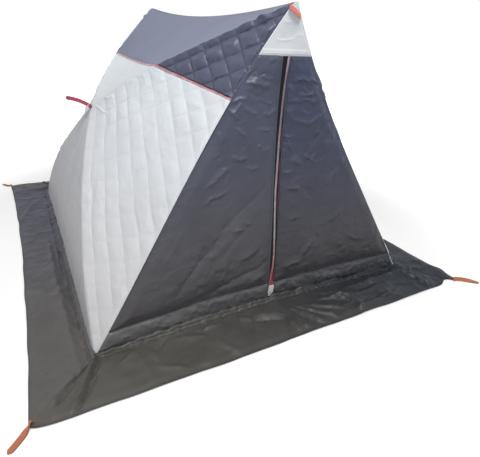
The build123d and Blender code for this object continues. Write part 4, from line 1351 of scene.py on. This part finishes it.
def side_lines(side):
    """Inner and outer line of the left (-1) or right (1) strip: the outer one straight between the
    corners and drawn in by a parabola in the middle, on the right with a step near the front."""
    turned = np.array([-side, 1.0, 1.0])
    start, stop = SKIRT_CORNERS[side, -1], SKIRT_CORNERS[side, 1]

    def inner(s):
        s = np.asarray(s)[..., None]
        return ((BASE_CORNER * (1 - s) + BASE_CORNER * MIRROR_Y * s) - X_AXIS * SKIRT_GAP) * turned

    def outer(s):
        s = np.asarray(s)[..., None]
        step = SIDE_STEP * np.exp(-((s - SIDE_STEP_PLACE) / SIDE_STEP_WIDTH) ** 2) if side > 0 else 0.0
        return start * (1 - s) + stop * s - side * X_AXIS * (SKIRT_HOLLOW * 4 * s * (1 - s) - step)
    return inner, outer


UNDER = (-LAP, 1 + LAP)
END_SLOPE, SIDE_SLOPE = 0.10, 0.28       # how the root leans on an end wall and on a side wall
skirt("front_skirt", *end_lines(-1), (0, 1), PANEL_STEP, END_SLOPE, SKIRT_CLOTH, "front_hem_band", LAP_RISE)
skirt("back_skirt", *end_lines(1), (0, 1), SKIRT_STEP, END_SLOPE, SKIRT_CLOTH, "back_hem_band", LAP_RISE)
skirt("left_skirt", *side_lines(-1), UNDER, PANEL_STEP, SIDE_SLOPE, SIDE_SKIRT_CLOTH, "front_hem_band")
skirt("right_skirt", *side_lines(1), UNDER, SKIRT_STEP, SIDE_SLOPE, SKIRT_CLOTH, "back_hem_band")


# ---------------------------------------------------------------- loops, tabs and straps
WEBBING_HALF_WIDE = 0.0125
WEBBING_HALF_TALL = 0.0013
STRAP_OUTLINE = round_outline(WEBBING_HALF_WIDE, WEBBING_HALF_TALL, 5.0, 24)
LOOP_LAP = 0.020             # length of webbing sewn on top of the skirt
FOOT_LIFT = 0.0042           # of a loop's middle over the ground where it lies flat
SIDEWAYS = 0.004             # how far a loop's middle bends aside
PLY_GAP = 0.0014             # half the distance between a loop's two straps at its ends
PLY_SWELL = 0.0012           # and how much that grows in the middle
END_BEND = 0.0016            # how far the loop's round end reaches past its straps


def turned_about(vector, axis, angle):
    """Rodrigues' turn of each vector about each axis by each angle."""
    angle = np.asarray(angle)[:, None]
    dot = (vector * axis).sum(axis=1, keepdims=True)
    return vector * np.cos(angle) + np.cross(axis, vector) * np.sin(angle) + axis * dot * (1 - np.cos(angle))


def rounded_end(past, length):
    """Share of its width that a strap keeps past the start of its round end: the square root of
    1 - (past / length)^2, and never under a small rest."""
    return np.sqrt(np.clip(1 - (np.clip(past, 0, None) / length) ** 2, 0.02, 1))[:, None]


def corner_loop(start, finish, edge_on, flat_by):
    """Loop of doubled webbing at a skirt corner, from start to finish on the ground: it leaves the
    skirt turned by the angle edge_on and lies flat from the distance flat_by on. Two straps lie on
    each other and join in a round end."""
    start, finish = np.array([*start, 0.0]), np.array([*finish, 0.0])
    length = np.linalg.norm(finish - start)
    out = (finish - start) / length
    t = np.linspace(0, 1, 48)
    reach = -LOOP_LAP + (length + LOOP_LAP) * t
    twist = edge_on * (1 - smooth((reach + 0.006) / flat_by)) * smooth((reach + LOOP_LAP) / 0.016)
    rise = WEBBING_HALF_WIDE * np.abs(np.sin(twist)) + FOOT_LIFT + 0.004 * smooth(-reach / 0.02)
    side_step = SIDEWAYS * np.sin(np.pi * t)
    path = start + (out * reach[:, None] + Z_AXIS * rise[:, None]
                    + np.cross(Z_AXIS, out) * side_step[:, None])
    tangent = tangents(path)
    tall = np.broadcast_to(Z_AXIS, path.shape) - tangent * tangent[:, 2:]
    tall = turned_about(tall / np.linalg.norm(tall, axis=1, keepdims=True), tangent, twist)
    wide = np.cross(tall, tangent)
    wide = wide * rounded_end(reach - length + 0.012, WEBBING_HALF_WIDE)
    apart = (PLY_GAP + PLY_SWELL * np.sin(np.pi * t))[:, None]
    straps = [swept("corner_loops", path + tall * k * apart, STRAP_OUTLINE, wide, tall) for k in (-1, 1)]
    around = np.linspace(-np.pi / 2, np.pi / 2, 12)[:, None]
    bend = path[-1] + np.cos(around) * tangent[-1] * END_BEND + np.sin(around) * tall[-1] * PLY_GAP
    bend_wide = np.broadcast_to(wide[-1], bend.shape)
    bend_tall = np.cross(tangents(bend), unit(wide[-1]))
    return straps + [swept("corner_loops", bend, STRAP_OUTLINE, bend_wide, bend_tall)]


loops = (corner_loop((-1.284, -1.356), (-1.357, -1.442), math.radians(60), 0.050)
         + corner_loop((1.268, -1.396), (1.387, -1.478), math.radians(74), 0.160)
         + corner_loop((-1.282, 1.374), (-1.355, 1.462), math.radians(60), 0.050)
         + corner_loop((1.282, 1.380), (1.365, 1.468), math.radians(74), 0.070))
fit(joined(loops), "corner_loops", ORANGE_WEBBING)


TAB_HEIGHT = sum(corner[2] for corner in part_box("peak_tabs")) / 2 + 0.010
TAB_TILT = math.tan(math.radians(28))
TAB_TWIST = math.radians(38)
TAB_SPAN = (-0.030, 0.036)   # from its left to its right end
TAB_LIFT, TAB_ARCH = 0.0042, 0.007


def peak_tab(end):
    """Webbing sewn aslant across a peak: it falls to the right by the tilt's tangent and arches off
    the cloth by a sine."""
    x = np.linspace(*TAB_SPAN, 36)
    path, normal = wall_line(TAB_HEIGHT - x * TAB_TILT)
    arch = TAB_LIFT + TAB_ARCH * np.sin(np.linspace(0, np.pi, len(x)))
    path = path + X_AXIS * x[:, None] + normal * arch[:, None]
    path, normal = placed(path, -1, end), placed(normal, -1, end)
    tangent = tangents(path)
    wide = turned_about(np.cross(normal, tangent), tangent, np.full(len(x), TAB_TWIST * end))
    return swept("peak_tabs", path, STRAP_OUTLINE, wide, np.cross(tangent, wide))


fit(joined([peak_tab(-1), peak_tab(1)]), "peak_tabs", TAB_WEBBING)


HUB_PATCH_RADIUS = 0.024
HUB_PATCH_RISE = 0.0035
HUB_PATCH_SINK = 0.0025      # how far its dome is let into the wall
HUB_PATCH_DEPTH = 0.0008
RING_HEIGHT = 0.0006         # of the faint rings pressed into it


def hub_patch(side, name):
    """Disc sewn over the hub: a dome whose height falls as 1 - (r/R)^4 with faint rings, its edge
    uneven by 2%, closed below by its foot."""
    low, high = [np.array(corner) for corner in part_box(name)]
    normal = WALL_NORMAL * np.array([-side, 1.0, 1.0])
    up = unit(np.cross(normal, Y_AXIS))
    top = np.array([low[0] if side < 0 else high[0], 0.0, high[2]])
    centre = top - up * HUB_PATCH_RADIUS * np.sign(up[2])
    radius = np.linspace(0.0, 1.0, 14)[1:, None, None]
    angle = np.linspace(0, 2 * np.pi, 49)[None, :-1, None]
    rise = HUB_PATCH_RISE * (1 - radius ** 4) + RING_HEIGHT * np.sin(radius * 20) - HUB_PATCH_SINK
    flat = radius * HUB_PATCH_RADIUS * (np.cos(angle) * Y_AXIS + np.sin(angle) * up)
    rings = centre + flat * (1 + 0.02 * np.sin(angle * 5 + 0.6)) + normal * rise
    foot = rings[-1:] - normal * HUB_PATCH_DEPTH
    poles = [[centre + normal * height] for height in
             (HUB_PATCH_RISE - HUB_PATCH_SINK, -HUB_PATCH_SINK - HUB_PATCH_DEPTH)]
    vertices = np.concatenate([poles[0], np.concatenate([rings, foot]).reshape(-1, 3), poles[1]])
    index = np.arange(1, len(vertices) - 1).reshape(-1, angle.size)
    turned = np.roll(index, -1, axis=1)
    faces = [[0, int(one), int(two)] for one, two in zip(index[0], turned[0])]
    faces += [[len(vertices) - 1, int(two), int(one)] for one, two in zip(index[-1], turned[-1])]
    faces += np.stack([index[:-1], index[1:], turned[1:], turned[:-1]], -1).reshape(-1, 4).tolist()
    edge = np.repeat((1 - radius.ravel()) * HUB_PATCH_RADIUS, angle.size)
    edge = np.concatenate([[HUB_PATCH_RADIUS], edge, np.zeros(angle.size + 1)])
    return mesh_piece(name, vertices, faces, vertices[:, 1:], edge)


PULL_PATH = np.array([(-0.711, 0.0, 0.936), (-0.781, 0.0, 0.979), (-0.859, 0.0, 1.000)])
PULL_OUTLINE = round_outline(0.0115, 0.0011, 5.0, 24)
PULL_PLY_GAP = 0.0013
FLAT_SHARE = 0.16            # share of the pull strap's length over which it turns from flat to upright
ROUND_START, ROUND_SHARE = 0.93, 0.0701


def pull_strap(side, name):
    """Pull strap: a doubled strap that leaves the hub patch flat on it, turns its broad side to the
    front at once, rises along a parabola and ends round."""
    root, middle, tip = PULL_PATH
    bend = 2 * middle - (root + tip) / 2
    t = np.linspace(0, 1, 44)
    share = t[:, None]
    path = (1 - share) ** 2 * root + 2 * share * (1 - share) * bend + share ** 2 * tip
    path = placed(path, side, -1)
    tangent = tangents(path)
    wide = np.cross(np.broadcast_to(Y_AXIS, path.shape), tangent)
    turn = math.radians(90) * (1 - smooth(t / FLAT_SHARE)) + 0.25 * np.sin(3.0 * t)
    wide = turned_about(wide, tangent, turn)
    tall = np.cross(tangent, wide)
    wide = wide * rounded_end(t - ROUND_START, ROUND_SHARE)
    return joined([swept(name, path + tall * k * PULL_PLY_GAP, PULL_OUTLINE, wide, tall) for k in (-1, 1)])


for side, word in SIDES:
    hub_name, strap_name = word + "_hub_patch", word + "_pull_strap"
    fit(hub_patch(side, hub_name), hub_name, PATCH_CLOTH)
    fit(pull_strap(side, strap_name), strap_name, RED_WEBBING)


# ---------------------------------------------------------------- pull tag
TAG_HALF_WIDE = 0.0180
TAG_OUTLINE = round_outline(1.0, 0.0011, 6.0, 24)
TAIL_START, TAIL_SHARE = 0.74, 0.42      # where the tag's tail starts, and the width it loses there
TAG_LIFT, TAG_BOW, TAG_SLANT = 0.0130, 0.003, 0.004


def pull_tag():
    """White tag folded over its cord: a strip carried down the wall's middle line and slanted aside,
    with rounded upper corners, a bow off the wall by a sine, and a narrow tail."""
    low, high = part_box("front_pull_tag")
    t = np.linspace(0, 1, 36)
    path, normal = wall_line(high[2] + (low[2] - high[2]) * t)
    aside = -0.003 - TAG_SLANT * t
    off_wall = TAG_LIFT - TAG_SLANT * t + TAG_BOW * np.sin(np.pi * t)
    path = path + X_AXIS * aside[:, None] + normal * off_wall[:, None]
    half = TAG_HALF_WIDE * (1 - TAIL_SHARE * smooth((t - TAIL_START) / 0.05))
    half = half * np.minimum(1, 0.5 + 10 * t) ** 0.5
    wide = np.cross(normal, tangents(path)) * half[:, None]
    return swept("front_pull_tag", path, TAG_OUTLINE, wide, normal)


fit(pull_tag(), "front_pull_tag", TAG_CLOTH)


# ---------------------------------------------------------------- finish of the CAD nodes that stay
for name, material in {
    "front_zip_slider": SLIDER_METAL, "left_hub": HUB_NYLON, "right_hub": HUB_NYLON,
    "left_hub_sockets": SOCKET_NYLON, "right_hub_sockets": SOCKET_NYLON,
    "left_rods": ROD_FIBREGLASS, "right_rods": ROD_FIBREGLASS,
}.items():
    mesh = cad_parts[name].data
    mesh.materials.clear()
    mesh.materials.append(material)


# ---------------------------------------------------------------- stage, light and camera
FLOOR_GLOW = 0.20            # the floor looks this much lighter to the camera alone
FLOOR_HALF = 30.0
FLOOR_DROP = 0.0005


def stage_floor():
    """Pale floor that catches the shadow, far larger than the hut, and turns white far from it."""
    mesh = bpy.data.meshes.new("floor")
    corners = [(x * FLOOR_HALF, y * FLOOR_HALF, 0) for x, y in ((-1, -1), (1, -1), (1, 1), (-1, 1))]
    mesh.from_pydata(corners, [], [(0, 1, 2, 3)])
    floor = bpy.data.objects.new("floor", mesh)
    bpy.context.scene.collection.objects.link(floor)
    floor.location.z = -FLOOR_DROP
    material, tree, shader, spot = new_material("floor")
    to_camera = node(tree, "ShaderNodeLightPath").outputs["Is Camera Ray"]
    away = node(tree, "ShaderNodeVectorMath", {0: spot}, operation="LENGTH").outputs["Value"]
    glow = maths(tree, "ADD", FLOOR_GLOW, spread(tree, away, 1.6, 3.4))
    feed(tree, shader, {"Base Color": (0.93, 0.93, 0.93, 1.0), "Roughness": 0.9, "Specular IOR Level": 0.1,
                        "Emission Color": (*WHITE, 1.0), "Emission Strength": times(tree, glow, to_camera)})
    mesh.materials.append(material)


def lamp(name, origin, aim, size, power, colour):
    """Square area lamp at origin that faces aim."""
    data = bpy.data.lights.new(name, "AREA")
    data.shape, data.size, data.energy, data.color = "SQUARE", size, power, colour
    lamp_object = bpy.data.objects.new(name, data)
    lamp_object.location = origin
    lamp_object.rotation_euler = (Vector(aim) - Vector(origin)).to_track_quat("-Z", "Y").to_euler()
    bpy.context.scene.collection.objects.link(lamp_object)


stage_floor()
lamp("key", (-1.2, -3.9, 7.2), (-0.2, -0.2, 0.5), 2.4, 450.0, (1.0, 0.98, 0.96))
lamp("fill", (-5.0, -4.0, 3.0), (0, 0, 0.6), 5.0, 8.0, (0.93, 0.96, 1.0))

WORLD_LIGHT = 0.24           # strength of the world's light; whatever sees it directly sees 1
world = bpy.data.worlds.new("studio")
world.use_nodes = True
bpy.context.scene.world = world
tree = world.node_tree
rays = node(tree, "ShaderNodeLightPath").outputs
seen = maths(tree, "MAXIMUM", rays["Is Camera Ray"], rays["Is Glossy Ray"])
seen = maths(tree, "MAXIMUM", seen, rays["Is Transmission Ray"])
feed(tree, tree.nodes["Background"], {"Color": blended(tree, seen, (0.94, 0.97, 1.0), WHITE),
                                      "Strength": spread(tree, seen, 0.0, 1.0, WORLD_LIGHT)})

CAMERA_PLACE = (-1.1176, -2.5847, 1.4089)
CAMERA_YAW, CAMERA_PITCH, CAMERA_ROLL = [math.radians(angle) for angle in (30.10, 26.76, -3.73)]
ahead = np.array([math.sin(CAMERA_YAW), math.cos(CAMERA_YAW), 0.0])
forward = ahead * math.cos(CAMERA_PITCH) - Z_AXIS * math.sin(CAMERA_PITCH)
level = np.array([math.cos(CAMERA_YAW), -math.sin(CAMERA_YAW), 0.0])
down = np.cross(forward, level)
right = math.cos(CAMERA_ROLL) * level + math.sin(CAMERA_ROLL) * down
below = -math.sin(CAMERA_ROLL) * level + math.cos(CAMERA_ROLL) * down
camera_data = bpy.data.cameras.new("camera")
camera_data.lens = 29.34
camera_data.sensor_width = 36.0
camera = bpy.data.objects.new("camera", camera_data)
camera.matrix_world = Matrix([*np.stack([right, -below, -forward, CAMERA_PLACE], 1).tolist(), [0, 0, 0, 1]])
bpy.context.scene.collection.objects.link(camera)
bpy.context.scene.camera = camera
bpy.context.scene.view_settings.view_transform = "Standard"
